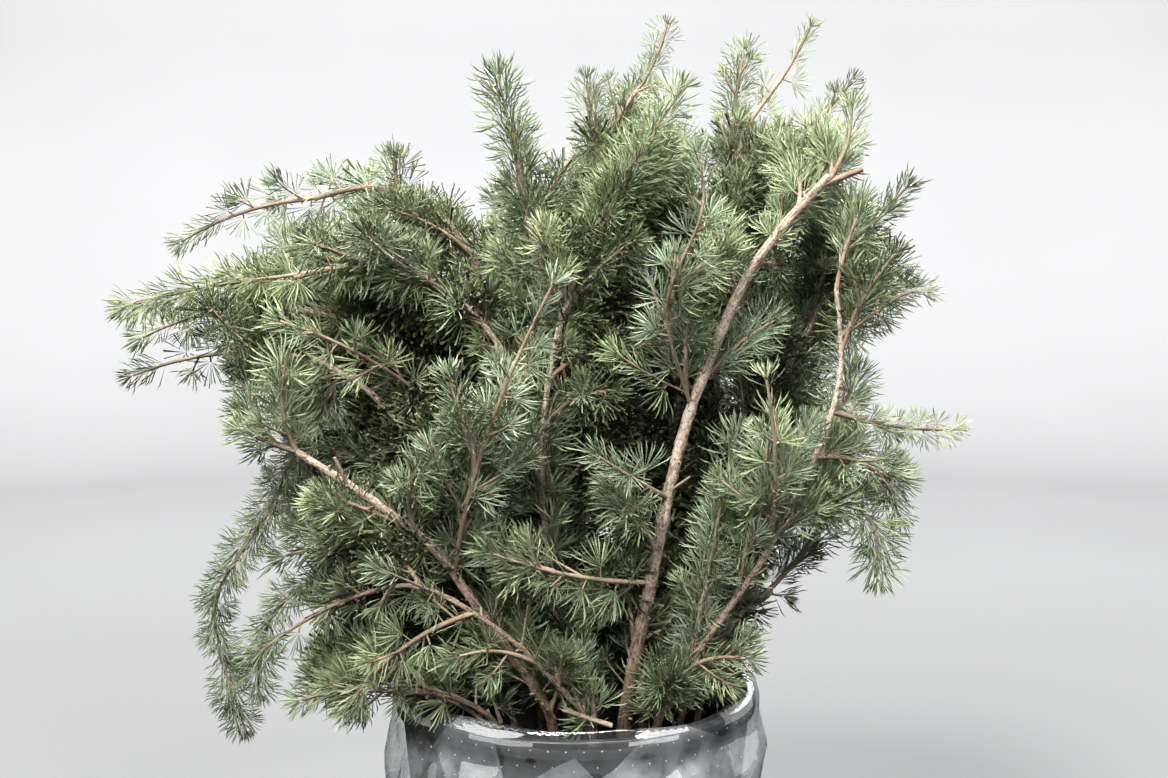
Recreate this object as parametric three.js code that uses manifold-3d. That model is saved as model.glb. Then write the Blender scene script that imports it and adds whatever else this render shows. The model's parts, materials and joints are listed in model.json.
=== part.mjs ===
// A bunch of cut cedar branches standing in a round flower bucket, inside a clear film sleeve.
// Millimetres, +Z up. The origin is the centre of the bucket's flat underside and the viewer stands at -Y.
import * as THREE from "three";
import { mergeVertices } from "three/addons/utils/BufferGeometryUtils.js";
import Module from "manifold-3d";

const wasm = await Module();
wasm.setup();

// Driving dimensions
const CLEARANCE = 0.3; // between neighbouring pieces
const BUCKET = {
  height: 300,
  rimRadius: 145,
  baseRadius: 112,
  wall: 3,
  floor: 4,
  collarHeight: 14,
  collarWidth: 5,
  edge: 2, // bevel on the rim's outer edge
  segments: 36,
};
const FILM = { thickness: 0.8, footRadius: 136, footHeight: 2, rise: 8, slack: 90, segments: 36 };
const FOOT_SPREAD = 0.68; // a stem's foot lies this share of the way out that its mouth does
const STRAIGHT_SHARE = 0.55; // of the bucket's height, over which a stem rises before it leans
const LIMB = { sides: 6, step: 62 }; // a bend at every step along it

// Cut stems: where each passes the bucket's mouth, where its line ends, how far the middle of that stretch
// bows away from a straight line, the diameters at its foot and tip, and the share of the stretch that is
// bare wood, before it enters its foliage.
const STEMS = {
  stem_main: { mouth: [38, -70], tip: [190, -60, 705], bow: [-35, 0, 20], girth: [16, 9], bare: 1 },
  stem_right: { mouth: [62, -85], tip: [193, -80, 625], bow: [34, 0, 0], girth: [10, 5], bare: 1 },
  stem_front_left: { mouth: [-16, -90], tip: [-207, -95, 505], bow: [0, 0, 38], girth: [11, 7], bare: 1 },
  stem_low_left: { mouth: [14, -105], tip: [-120, -105, 408], bow: [0, -8, 18], girth: [9, 5], bare: 0.75 },
  stem_rim_left: { mouth: [-56, -98], tip: [-135, -108, 326], bow: [0, 0, 10], girth: [8, 5], bare: 0.4 },
  stem_left_mid: { mouth: [-50, -45], tip: [-235, -30, 572], bow: [20, 0, 65], girth: [10, 5], bare: 0.82 },
  stem_left_upper: { mouth: [-30, -12], tip: [-250, 5, 600], bow: [25, 0, 90], girth: [10, 5], bare: 0.5 },
  stem_left_top: { mouth: [-8, -35], tip: [-215, -45, 632], bow: [55, 0, 110], girth: [10, 6], bare: 0.3 },
  stem_arch: { mouth: [-30, 45], tip: [-215, 65, 690], bow: [45, 0, 135], girth: [10, 5], bare: 0.84 },
  stem_upright: { mouth: [-4, -8], tip: [-50, -28, 745], bow: [12, 0, 0], girth: [11, 6], bare: 0.22 },
  stem_top_mid: { mouth: [10, -50], tip: [40, -62, 712], bow: [-50, 0, 10], girth: [10, 6], bare: 0.2 },
  stem_top_back: { mouth: [15, 28], tip: [37, 40, 762], bow: [-45, 0, 10], girth: [10, 5], bare: 0.95 },
  stem_top_right: { mouth: [60, 30], tip: [140, 40, 755], bow: [-15, 0, 10], girth: [11, 6], bare: 0.88 },
  stem_behind_right: { mouth: [90, -5], tip: [215, 10, 645], bow: [-15, 0, 5], girth: [11, 6], bare: 0.12 },
  stem_low_right: { mouth: [98, -46], tip: [152, -40, 388], bow: [-8, 0, 10], girth: [8, 5], bare: 0.55 },
  stem_back_left: { mouth: [-60, 70], tip: [-180, 140, 545], bow: [15, 10, 60], girth: [10, 5], bare: 0.22 },
  stem_back_mid: { mouth: [0, 85], tip: [-25, 150, 630], bow: [10, 15, 30], girth: [10, 5], bare: 0.2 },
  stem_back_right: { mouth: [60, 80], tip: [150, 140, 590], bow: [-15, 10, 40], girth: [10, 5], bare: 0.22 },
};

// Sprays of foliage: the stem that carries each, how far along its line, the reach of the needles at the far
// end, the bow, and the half-width of its space at the foot. A spray at 1 carries its stem's line on from
// where the bare wood ends.
const SPRAYS = {
  spray_main_top: { on: "stem_main", at: 1, tip: [206, -42, 772], bow: [8, 0, 0], spread: 52 },
  spray_main_high: { on: "stem_main", at: 0.54, tip: [84, -112, 735], bow: [-18, -12, 0], spread: 76 },
  spray_main_mid: { on: "stem_main", at: 0.38, tip: [8, -128, 512], bow: [0, -6, 0], spread: 70 },
  spray_main_low: { on: "stem_main", at: 0.23, tip: [-72, -128, 440], bow: [0, -8, -5], spread: 72 },
  spray_right_top: { on: "stem_right", at: 1, tip: [218, -72, 695], bow: [-4, 0, 0], spread: 56 },
  spray_right_high: { on: "stem_right", at: 0.9, tip: [277, -50, 606], bow: [0, 0, 14], spread: 52 },
  spray_right_mid: { on: "stem_right", at: 0.74, tip: [307, -25, 513], bow: [5, 0, -6], spread: 42 },
  spray_right_droop: { on: "stem_right", at: 0.64, tip: [258, -38, 424], bow: [14, 0, 18], spread: 52 },
  spray_right_low: { on: "stem_right", at: 0.46, tip: [226, -92, 387], bow: [26, 0, 30], spread: 46 },
  spray_right_inner: { on: "stem_right", at: 0.42, tip: [134, -126, 575], bow: [6, -12, 0], spread: 74 },
  spray_front_left: { on: "stem_front_left", at: 1, tip: [-262, -100, 532], bow: [0, 0, -3], spread: 48 },
  spray_front_low: { on: "stem_front_left", at: 0.55, tip: [-232, -75, 418], bow: [0, 6, 8], spread: 58 },
  spray_centre: { on: "stem_front_left", at: 0.47, tip: [-10, -124, 640], bow: [-14, -14, -6], spread: 82 },
  spray_low_centre: { on: "stem_low_left", at: 0.3, tip: [-92, -168, 366], bow: [0, 0, 10], spread: 62 },
  spray_low_left: { on: "stem_low_left", at: 1, tip: [-252, -62, 336], bow: [0, 0, 12], spread: 56 },
  spray_low_drop: { on: "stem_low_left", at: 0.66, tip: [-176, -112, 304], bow: [-5, -6, 14], spread: 56 },
  spray_rim_left: { on: "stem_rim_left", at: 1, tip: [-218, -96, 312], bow: [0, 0, 6], spread: 48 },
  spray_tail: { on: "stem_left_mid", at: 0.78, tip: [-272, 0, 249], bow: [-70, 14, 30], spread: 34 },
  spray_tail_short: { on: "stem_left_mid", at: 0.5, tip: [-256, -8, 283], bow: [-25, 14, 25], spread: 38 },
  spray_left_mid: { on: "stem_left_mid", at: 1, tip: [-366, -18, 546], bow: [0, 0, 8], spread: 54 },
  spray_left_bright: { on: "stem_left_upper", at: 0.44, tip: [-230, -90, 604], bow: [0, -18, 14], spread: 70 },
  spray_left_upper: { on: "stem_left_upper", at: 1, tip: [-363, 36, 572], bow: [0, 0, 10], spread: 72 },
  spray_left_top: { on: "stem_left_top", at: 1, tip: [-369, -38, 607], bow: [0, 0, 4], spread: 86 },
  spray_arch: { on: "stem_arch", at: 1, tip: [-337, 62, 648], bow: [0, 0, 10], spread: 54 },
  spray_arch_crest: { on: "stem_arch", at: 0.79, tip: [-151, 60, 744], bow: [0, 0, 0], spread: 44 },
  spray_upright: { on: "stem_upright", at: 1, tip: [-68, -30, 798], bow: [0, 0, 0], spread: 92 },
  spray_top_mid: { on: "stem_top_mid", at: 1, tip: [88, -62, 785], bow: [0, 0, 0], spread: 92 },
  spray_top_back_left: { on: "stem_top_back", at: 0.9, tip: [2, 30, 800], bow: [-4, 0, 0], spread: 46 },
  spray_top_back: { on: "stem_top_back", at: 1, tip: [76, 52, 842], bow: [6, 0, -4], spread: 42 },
  spray_top_right: { on: "stem_top_right", at: 1, tip: [192, 42, 838], bow: [4, 0, -3], spread: 50 },
  spray_top_right_left: { on: "stem_top_right", at: 0.86, tip: [122, 50, 828], bow: [-4, 0, 4], spread: 46 },
  spray_top_right_out: { on: "stem_top_right", at: 0.8, tip: [226, 15, 793], bow: [0, 0, -5], spread: 50 },
  spray_behind_right: { on: "stem_behind_right", at: 1, tip: [268, 12, 708], bow: [0, 0, 0], spread: 92 },
  spray_low_right: { on: "stem_low_right", at: 1, tip: [208, -20, 416], bow: [0, 0, 4], spread: 58 },
  spray_rim_right: { on: "stem_right", at: 0.12, tip: [152, -132, 352], bow: [0, -6, 10], spread: 56 },
  spray_back_left: { on: "stem_back_left", at: 1, tip: [-275, 182, 580], bow: [0, 0, 12], spread: 84 },
  spray_rear_left: { on: "stem_back_left", at: 0.17, tip: [-200, 190, 440], bow: [0, 0, 20], spread: 70 },
  spray_back_mid: { on: "stem_back_mid", at: 1, tip: [-50, 198, 745], bow: [0, 8, 0], spread: 95 },
  spray_back_right: { on: "stem_back_right", at: 1, tip: [222, 185, 665], bow: [0, 0, 8], spread: 84 },
  spray_rear_right: { on: "stem_back_right", at: 0.17, tip: [190, 185, 470], bow: [0, 0, 20], spread: 70 },
};

// Growth rule of a spray: twigs leave its shoot in turn round it, each ending in a rosette of needles, and
// they fill a space that narrows from the foot to the end.
const SHOOT = { footRadius: 2.4, tipRadius: 1.2, step: 45, endWidth: 22 };
const TWIG = {
  first: 20, // length of the shoot that stays bare
  spacing: 28,
  turn: THREE.MathUtils.degToRad(137.5),
  lean: THREE.MathUtils.degToRad(52),
  leanJitter: THREE.MathUtils.degToRad(14),
  outward: [0.3, 0.7], // how far out of the shoot it ends, as shares of the half-width there
  shortest: 12,
  footRadius: 1.6,
  tipRadius: 1.1,
};
// A rosette of needles: a star of blades, its points and valleys given by radius and forward sweep. It stands
// for the small rosettes round it, so it is larger within the crown than at the ends of the shoots.
const ROSETTE = { blades: 7, radius: [20, 54], valley: 0.42, sweep: 0.45, valleySweep: 0.18, crown: 0.2 };
// A twig and its rosette are tried in these sizes, and swung round the shoot by these angles, and the first
// that keeps clear of everything else is taken.
const TRIED_SIZES = [1, 0.78, 0.6];
const TRIED_SWINGS = [0, Math.PI / 2, -Math.PI / 2, Math.PI];
const SEED = 71;

const COLOURS = { bark: "#8b7260", needles: "#5d7c5c", bucket: "#1d1e20", film: "#dfe4e8" };
const bark = new THREE.MeshStandardMaterial({ color: COLOURS.bark, roughness: 0.9, metalness: 0 });
const needles = new THREE.MeshStandardMaterial({ color: COLOURS.needles, roughness: 0.6, metalness: 0 });
const blackPlastic = new THREE.MeshStandardMaterial({ color: COLOURS.bucket, roughness: 0.4, metalness: 0 });
const clearFilm = new THREE.MeshStandardMaterial({
  color: COLOURS.film,
  roughness: 0.1,
  metalness: 0,
  transparent: true,
  opacity: 0.25,
});

const vector = ([x, y, z]) => new THREE.Vector3(x, y, z);

// The same row of draws for the same seed, each from 0 to 1.
function seededDraws(seed) {
  let state = seed >>> 0;
  return () => {
    state = (state + 0x6d2b79f5) >>> 0;
    let mixed = Math.imul(state ^ (state >>> 15), state | 1);
    mixed ^= mixed + Math.imul(mixed ^ (mixed >>> 7), mixed | 61);
    return ((mixed ^ (mixed >>> 14)) >>> 0) / 4294967296;
  };
}

// A closed geometry as a solid, and a solid as a geometry.
function solidOf(geometry) {
  const bare = new THREE.BufferGeometry().setAttribute("position", geometry.getAttribute("position"));
  const welded = mergeVertices(bare.setIndex(geometry.getIndex()), 1e-4);
  const corners = welded.getIndex().array;
  const kept = [];
  for (let i = 0; i < corners.length; i += 3) {
    const [a, b, c] = corners.subarray(i, i + 3);
    if (a !== b && b !== c && a !== c) kept.push(a, b, c);
  }
  return new wasm.Manifold(
    new wasm.Mesh({
      numProp: 3,
      vertProperties: welded.getAttribute("position").array,
      triVerts: new Uint32Array(kept),
    }),
  );
}

function geometryOf(solid) {
  const made = solid.getMesh();
  const geometry = new THREE.BufferGeometry();
  geometry.setAttribute("position", new THREE.BufferAttribute(made.vertProperties, 3));
  geometry.setIndex(new THREE.BufferAttribute(made.triVerts, 1));
  geometry.computeVertexNormals();
  return geometry;
}

// A closed ring or vessel turned about +Z from a profile of [radius, height] points.
function turned(profile, segments) {
  const points = profile.map(([radius, height]) => new THREE.Vector2(radius, height));
  return solidOf(new THREE.LatheGeometry(points, segments).rotateX(Math.PI / 2));
}

function bucketSolid() {
  const { height, rimRadius, baseRadius, wall, floor, collarHeight, collarWidth, edge } = BUCKET;
  const neck = rimRadius - collarWidth;
  const profile = [
    [0, 0],
    [baseRadius, 0],
    [neck, height - collarHeight],
    [rimRadius, height - collarHeight],
    [rimRadius, height - edge],
    [rimRadius - edge, height],
    [neck - wall, height],
    [baseRadius - wall, floor],
    [0, floor],
  ];
  return turned(profile, BUCKET.segments);
}

function filmSolid() {
  const { thickness, footRadius, footHeight, rise, slack } = FILM;
  const rim = BUCKET.rimRadius / Math.cos(Math.PI / FILM.segments) + CLEARANCE;
  const inside = [
    [footRadius, footHeight],
    [rim, BUCKET.height - BUCKET.collarHeight - slack],
    [rim, BUCKET.height + rise],
  ];
  const outside = inside.map(([radius, height]) => [radius + thickness, height]).reverse();
  const profile = [...inside, ...outside, inside[0]].reverse();
  return turned(profile, FILM.segments);
}

// The curve from a start to a tip whose middle lies `bow` away from the straight line.
function bowedCurve(start, tip, bow) {
  const control = start.clone().add(tip).multiplyScalar(0.5).addScaledVector(bow, 2);
  return new THREE.QuadraticBezierCurve3(start, control, tip);
}

// The points of a curve from one share of it to another, both ends among them.
function pointsBetween(curve, from, to, steps) {
  const shares = [...Array(steps + 1).keys()].map((step) => THREE.MathUtils.lerp(from, to, step / steps));
  return shares.map((share) => curve.getPoint(share));
}

// A stem's line above the bucket's mouth, and the axis of its bare wood, from the foot in the bucket.
function stemLine({ mouth, tip, bow }) {
  return bowedCurve(vector([...mouth, BUCKET.height]), vector(tip), vector(bow));
}

function woodAxis({ mouth, bare }, line) {
  const foot = vector([mouth[0] * FOOT_SPREAD, mouth[1] * FOOT_SPREAD, BUCKET.floor + CLEARANCE]);
  const knee = foot.clone().setZ(BUCKET.height * STRAIGHT_SHARE);
  const sunk = new THREE.QuadraticBezierCurve3(foot, knee, line.getPoint(0));
  const below = sunk.getPoints(4).slice(0, -1);
  return new THREE.CatmullRomCurve3([...below, ...pointsBetween(line, 0, bare, 6)]);
}

// A spray's axis, from the line of its stem to the far end.
function sprayAxis({ on, at, tip, bow }) {
  const own = bowedCurve(lines[on].getPoint(at), vector(tip), vector(bow));
  const { bare } = STEMS[on];
  if (at < 1 || bare === 1) return own;
  const onward = pointsBetween(lines[on], bare, 1, 3).slice(0, -1);
  return new THREE.CatmullRomCurve3([...onward, ...own.getPoints(3)]);
}

// A round bar bent along a curve, tapering from foot to tip, its foot cut level.
function limbSolid(curve, [footGirth, tipGirth]) {
  const { sides, step: length } = LIMB;
  const steps = Math.ceil(curve.getLength() / length);
  const bar = new THREE.CylinderGeometry(tipGirth / 2, footGirth / 2, 1, sides, steps);
  const { normals, binormals } = curve.computeFrenetFrames(steps);
  const corners = bar.getAttribute("position");
  for (let i = 0; i < corners.count; i++) {
    const share = corners.getY(i) + 0.5;
    const step = Math.round(share * steps);
    const place = curve
      .getPointAt(share)
      .addScaledVector(normals[step], corners.getX(i))
      .addScaledVector(binormals[step], -corners.getZ(i));
    if (step === 0) place.setZ(BUCKET.floor + CLEARANCE);
    corners.setXYZ(i, place.x, place.y, place.z);
  }
  return solidOf(bar);
}

// A three-sided shoot along a curve that opens at its end into a rosette of needle blades.
function tuftedShoot(curve, { footRadius, tipRadius, steps, radius, roll }) {
  const { normals, binormals, tangents } = curve.computeFrenetFrames(steps);
  const corners = [];
  const faces = [];
  const put = (step, out, angle, forward) => {
    const place = curve
      .getPointAt(step / steps)
      .addScaledVector(normals[step], out * Math.cos(angle))
      .addScaledVector(binormals[step], out * Math.sin(angle))
      .addScaledVector(tangents[step], forward);
    return corners.push(place.x, place.y, place.z) / 3 - 1;
  };
  const rings = [];
  for (let step = 0; step <= steps; step++) {
    const thickness = THREE.MathUtils.lerp(footRadius, tipRadius, step / steps);
    const sideAngle = (side) => roll + ((side + 0.5) * 2 * Math.PI) / 3;
    rings.push([0, 1, 2].map((side) => put(step, thickness, sideAngle(side), 0)));
  }
  const { blades, valley, sweep, valleySweep, crown } = ROSETTE;
  const rim = 2 * blades;
  const star = [...Array(rim).keys()].map((corner) => {
    const [out, forward] = corner % 2 ? [valley, valleySweep] : [1, sweep];
    return put(steps, out * radius, roll + (corner * Math.PI) / blades, forward * radius);
  });
  const top = put(steps, 0, 0, crown * radius);

  faces.push(rings[0][0], rings[0][2], rings[0][1]);
  for (let step = 0; step < steps; step++) {
    for (let side = 0; side < 3; side++) {
      const [a, b] = [rings[step][side], rings[step][(side + 1) % 3]];
      const [d, c] = [rings[step + 1][side], rings[step + 1][(side + 1) % 3]];
      faces.push(a, b, c, a, c, d);
    }
  }
  const neckSide = (corner) => Math.floor((corner * 3) / rim);
  for (let corner = 0; corner < rim; corner++) {
    const neck = rings[steps][neckSide(corner)];
    const next = star[(corner + 1) % rim];
    faces.push(neck, next, star[corner], star[corner], next, top);
    if (neckSide(corner + 1) === neckSide(corner)) continue;
    faces.push(neck, rings[steps][neckSide(corner + 1) % 3], next);
  }

  const geometry = new THREE.BufferGeometry();
  geometry.setAttribute("position", new THREE.Float32BufferAttribute(corners, 3));
  return solidOf(geometry.setIndex(faces));
}

// The spray's shoot, cut back from its stem until its foot is clear of it by the clearance.
function seatedShoot(axis, stem, roll) {
  const { footRadius, tipRadius, step, endWidth: radius } = SHOOT;
  const length = axis.getLength();
  const steps = Math.max(3, Math.round(length / step));
  const end = 1 - (ROSETTE.sweep * radius) / length;
  const shootFrom = (share) => {
    const curve = new THREE.CatmullRomCurve3(pointsBetween(axis, share, end, steps));
    return { curve, solid: tuftedShoot(curve, { footRadius, tipRadius, steps, radius, roll }) };
  };
  let [touching, clear] = [0, 0.5];
  for (let halving = 0; halving < 16; halving++) {
    const share = (touching + clear) / 2;
    if (shootFrom(share).solid.minGap(stem, 2 * CLEARANCE) < CLEARANCE) touching = share;
    else clear = share;
  }
  return shootFrom(clear);
}

// The twigs that a spray's rule asks for, in the order in which they are drawn.
function plannedTwigs(curve, spread, draw) {
  const length = curve.getLength();
  const count = Math.floor((length - TWIG.first) / TWIG.spacing);
  const start = draw() * 2 * Math.PI;
  const twigs = [];
  for (let i = 0; i < count; i++) {
    const share = (TWIG.first + i * TWIG.spacing) / length;
    const along = curve.getTangentAt(share);
    const across = new THREE.Vector3(along.y, -along.x, 0.001).cross(along).normalize();
    const outward = across.applyAxisAngle(along, start + i * TWIG.turn);
    const lean = TWIG.lean + (draw() - 0.5) * TWIG.leanJitter;
    const width = THREE.MathUtils.lerp(spread, SHOOT.endWidth, share);
    const offset = width * THREE.MathUtils.lerp(...TWIG.outward, draw());
    const foot = curve.getPointAt(share);
    const reach = Math.max(offset / Math.sin(lean), TWIG.shortest);
    const room = Math.min((width - offset) / Math.cos(lean), width);
    const radius = THREE.MathUtils.clamp(room, ...ROSETTE.radius);
    twigs.push({ foot, along, outward, lean, reach, radius, roll: draw() * 2 * Math.PI });
  }
  return twigs;
}

function twigSolid({ foot, along, outward, lean, reach, radius, roll }, size, swing) {
  const { footRadius, tipRadius } = TWIG;
  const side = outward.clone().applyAxisAngle(along, swing);
  const heading = along.clone().multiplyScalar(Math.cos(lean)).addScaledVector(side, Math.sin(lean));
  const line = new THREE.LineCurve3(foot, foot.clone().addScaledVector(heading, reach));
  return tuftedShoot(line, { footRadius, tipRadius, steps: 1, radius: radius * size, roll });
}

// The first of a twig's sizes and swings that keeps clear of what is taken, if there is one.
function fittedTwig(twig, taken) {
  for (const swing of TRIED_SWINGS) {
    for (const size of TRIED_SIZES) {
      const solid = twigSolid(twig, size, swing);
      if (clearOf(solid, taken)) return solid;
    }
  }
  return null;
}

// True if a piece keeps the clearance to every solid in a list.
function clearOf(piece, solids) {
  const near = ({ min, max }, other) =>
    min.every((low, axis) => low - CLEARANCE < other.max[axis] && max[axis] + CLEARANCE > other.min[axis]);
  const box = piece.boundingBox();
  return solids.every(
    (other) => !near(box, other.boundingBox()) || piece.minGap(other, 2 * CLEARANCE) >= CLEARANCE,
  );
}

// The largest body of a fused spray, without scraps or sealed hollows.
function largestBody(solid) {
  return solid.decompose().reduce((most, body) => (body.volume() > most.volume() ? body : most));
}

// Bucket, film and stems
const fixed = { bucket: bucketSolid(), film_sleeve: filmSolid() };
const lines = {};
for (const [name, stem] of Object.entries(STEMS)) {
  lines[name] = stemLine(stem);
  fixed[name] = limbSolid(woodAxis(stem, lines[name]), stem.girth);
}

// Sprays: every shoot first, then one twig for each spray in turn while there is room for it
const sprays = Object.entries(SPRAYS).map(([name, spray], i) => {
  const draw = seededDraws(SEED + i);
  const { curve, solid } = seatedShoot(sprayAxis(spray), fixed[spray.on], draw() * 2 * Math.PI);
  return { name, pieces: [solid], twigs: plannedTwigs(curve, spray.spread, draw) };
});
const mostTwigs = Math.max(...sprays.map(({ twigs }) => twigs.length));
for (let turn = 0; turn < mostTwigs; turn++) {
  for (const spray of sprays) {
    if (turn >= spray.twigs.length) continue;
    const others = sprays.flatMap((other) => (other === spray ? other.pieces.slice(1) : other.pieces));
    const taken = [...Object.values(fixed), ...others];
    const solid = fittedTwig(spray.twigs[turn], taken);
    if (solid) spray.pieces.push(solid);
  }
}

const bunch = new THREE.Group();
function addNode(name, solid, material) {
  const mesh = new THREE.Mesh(geometryOf(solid), material);
  mesh.name = name;
  bunch.add(mesh);
}
addNode("bucket", fixed.bucket, blackPlastic);
addNode("film_sleeve", fixed.film_sleeve, clearFilm);
for (const name of Object.keys(STEMS)) addNode(name, fixed[name], bark);
for (const { name, pieces } of sprays) addNode(name, largestBody(wasm.Manifold.union(pieces)), needles);

export default bunch;
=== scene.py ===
import json
import math
import random

import bpy
import numpy as np
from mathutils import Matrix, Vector
from mathutils.geometry import delaunay_2d_cdt
from mathutils.kdtree import KDTree

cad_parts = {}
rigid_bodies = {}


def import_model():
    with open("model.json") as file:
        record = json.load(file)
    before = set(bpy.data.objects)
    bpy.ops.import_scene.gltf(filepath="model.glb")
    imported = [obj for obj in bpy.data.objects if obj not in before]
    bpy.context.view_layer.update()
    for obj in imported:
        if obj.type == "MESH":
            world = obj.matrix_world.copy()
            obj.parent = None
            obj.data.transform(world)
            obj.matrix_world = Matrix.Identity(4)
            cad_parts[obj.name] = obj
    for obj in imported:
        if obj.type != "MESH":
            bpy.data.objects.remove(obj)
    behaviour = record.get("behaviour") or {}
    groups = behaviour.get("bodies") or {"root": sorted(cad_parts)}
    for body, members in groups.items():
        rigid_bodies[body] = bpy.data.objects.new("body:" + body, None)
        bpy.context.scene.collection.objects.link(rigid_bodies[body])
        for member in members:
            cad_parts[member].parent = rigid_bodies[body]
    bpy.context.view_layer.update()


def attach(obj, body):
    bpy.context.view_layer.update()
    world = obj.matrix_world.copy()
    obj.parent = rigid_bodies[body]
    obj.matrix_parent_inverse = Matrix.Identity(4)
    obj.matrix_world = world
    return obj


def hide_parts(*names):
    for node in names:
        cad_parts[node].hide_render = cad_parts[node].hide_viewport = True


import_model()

mm = 0.001  # lengths below are in millimetres unless a note says otherwise
up = np.array((0.0, 0.0, 1.0))


# Node trees and meshes

def addNode(tree, kind, sockets=None, **settings):
    node = tree.nodes.new(kind)
    for name, value in settings.items():
        setattr(node, name, value)
    for name, value in (sockets or {}).items():
        if isinstance(value, bpy.types.NodeSocket):
            tree.links.new(value, node.inputs[name])
        else:
            node.inputs[name].default_value = value
    return node


def addRamp(tree, factor, stops):
    ramp = addNode(tree, "ShaderNodeValToRGB", {"Fac": factor})
    while len(ramp.color_ramp.elements) < len(stops):
        ramp.color_ramp.elements.new(0.5)
    for element, (place, colour) in zip(ramp.color_ramp.elements, stops):
        element.position = place
        element.color = (*colour, 1)
    return ramp.outputs["Color"]


def mixColours(tree, factor, first, second, blend="MIX"):
    node = addNode(tree, "ShaderNodeMix", data_type="RGBA", blend_type=blend)
    for socket, value in (("Factor_Float", factor), ("A_Color", first), ("B_Color", second)):
        target = next(s for s in node.inputs if s.identifier == socket)
        if isinstance(value, bpy.types.NodeSocket):
            tree.links.new(value, target)
        else:
            target.default_value = value if socket == "Factor_Float" else (*value, 1)
    return next(s for s in node.outputs if s.identifier == "Result_Color")


def multiply(tree, colour, *others):
    for other in others:
        colour = mixColours(tree, 1.0, colour, other, "MULTIPLY")
    return colour


def addNoise(tree, where, scale, detail, roughness=0.5):
    sockets = {"Vector": where, "Scale": scale, "Detail": detail, "Roughness": roughness}
    return addNode(tree, "ShaderNodeTexNoise", sockets).outputs[0]


def addRange(tree, value, low, high, least=0.0, most=1.0):
    sockets = {"Value": value, "From Min": low, "From Max": high, "To Min": least, "To Max": most}
    return addNode(tree, "ShaderNodeMapRange", sockets).outputs[0]


def addMath(tree, operation, first, second):
    return addNode(tree, "ShaderNodeMath", {0: first, 1: second}, operation=operation).outputs[0]


def addAxis(tree, where, axis):
    return addNode(tree, "ShaderNodeSeparateXYZ", {0: where}).outputs[axis]


def addBump(tree, shader, height, strength, distance):
    bump = addNode(tree, "ShaderNodeBump", {"Height": height, "Strength": strength, "Distance": distance})
    tree.links.new(bump.outputs[0], shader.inputs["Normal"])


def newMaterial(name, sockets):
    material = bpy.data.materials.new(name)
    material.use_nodes = True
    tree = material.node_tree
    shader = tree.nodes["Principled BSDF"]
    for socket, value in sockets.items():
        shader.inputs[socket].default_value = value
    return material, tree, shader, addNode(tree, "ShaderNodeTexCoord").outputs["Object"]


def newPiece(name, points, faces, material=None, corners=None, edges=()):
    mesh = bpy.data.meshes.new(name)
    mesh.from_pydata(np.asarray(points, dtype=float).tolist(), edges, faces)
    if corners is not None:
        layer = mesh.uv_layers.new(name="surface")
        layer.data.foreach_set("uv", np.asarray(corners, dtype=np.float32).ravel())
    mesh.polygons.foreach_set("use_smooth", np.full(len(mesh.polygons), True))
    if material:
        mesh.materials.append(material)
    piece = bpy.data.objects.new(name, mesh)
    bpy.context.collection.objects.link(piece)
    return piece


def lathe(name, line, segments, material):
    turns = np.linspace(0, 2 * math.pi, segments, endpoint=False)
    points, faces, rows = [], [], []
    for r, z in line:
        if r < 1e-6:
            rows.append([len(points)] * segments)
            points.append((0, 0, z * mm))
            continue
        rows.append(list(range(len(points), len(points) + segments)))
        points += [(r * math.cos(t) * mm, r * math.sin(t) * mm, z * mm) for t in turns]
    for low, high in zip(rows, rows[1:]):
        for i in range(segments):
            j = (i + 1) % segments
            faces.append(list(dict.fromkeys((low[i], low[j], high[j], high[i]))))
    return newPiece(name, points, faces, material)


def setAttribute(mesh, name, kind, values):
    layer = mesh.attributes.new(name, kind, "POINT")
    key = "vector" if kind == "FLOAT_VECTOR" else "value"
    number = np.int32 if kind == "INT" else np.float32
    layer.data.foreach_set(key, np.asarray(values, number).ravel())


# runs a geometry tree once and keeps the plain mesh
def grow(piece, tree, **inputs):
    modifier = piece.modifiers.new("growth", "NODES")
    modifier.node_group = tree
    for item in tree.interface.items_tree:
        if item.item_type == "SOCKET" and item.in_out == "INPUT" and item.name in inputs:
            modifier[item.identifier] = inputs[item.name]
    evaluated = piece.evaluated_get(bpy.context.evaluated_depsgraph_get())
    mesh = bpy.data.meshes.new_from_object(evaluated)
    piece.modifiers.remove(modifier)
    spent = piece.data
    piece.data = mesh
    bpy.data.meshes.remove(spent)
    mesh.name = piece.name
    return piece


def newTree(name, sockets):
    tree = bpy.data.node_groups.new(name, "GeometryNodeTree")
    for label, kind in (("Geometry", "NodeSocketGeometry"), *sockets):
        tree.interface.new_socket(name=label, in_out="INPUT", socket_type=kind)
    tree.interface.new_socket(name="Geometry", in_out="OUTPUT", socket_type="NodeSocketGeometry")
    return tree, tree.nodes.new("NodeGroupInput"), tree.nodes.new("NodeGroupOutput")


def readAttribute(tree, name, kind):
    return addNode(tree, "GeometryNodeInputNamedAttribute", {"Name": name}, data_type=kind).outputs[0]


def endTree(tree, geometry, source, sink):
    real = addNode(tree, "GeometryNodeRealizeInstances", {"Geometry": geometry})
    dressed = addNode(tree, "GeometryNodeSetMaterial", {
        "Geometry": real.outputs[0], "Material": source.outputs["Material"]})
    tree.links.new(dressed.outputs[0], sink.inputs[0])


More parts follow.
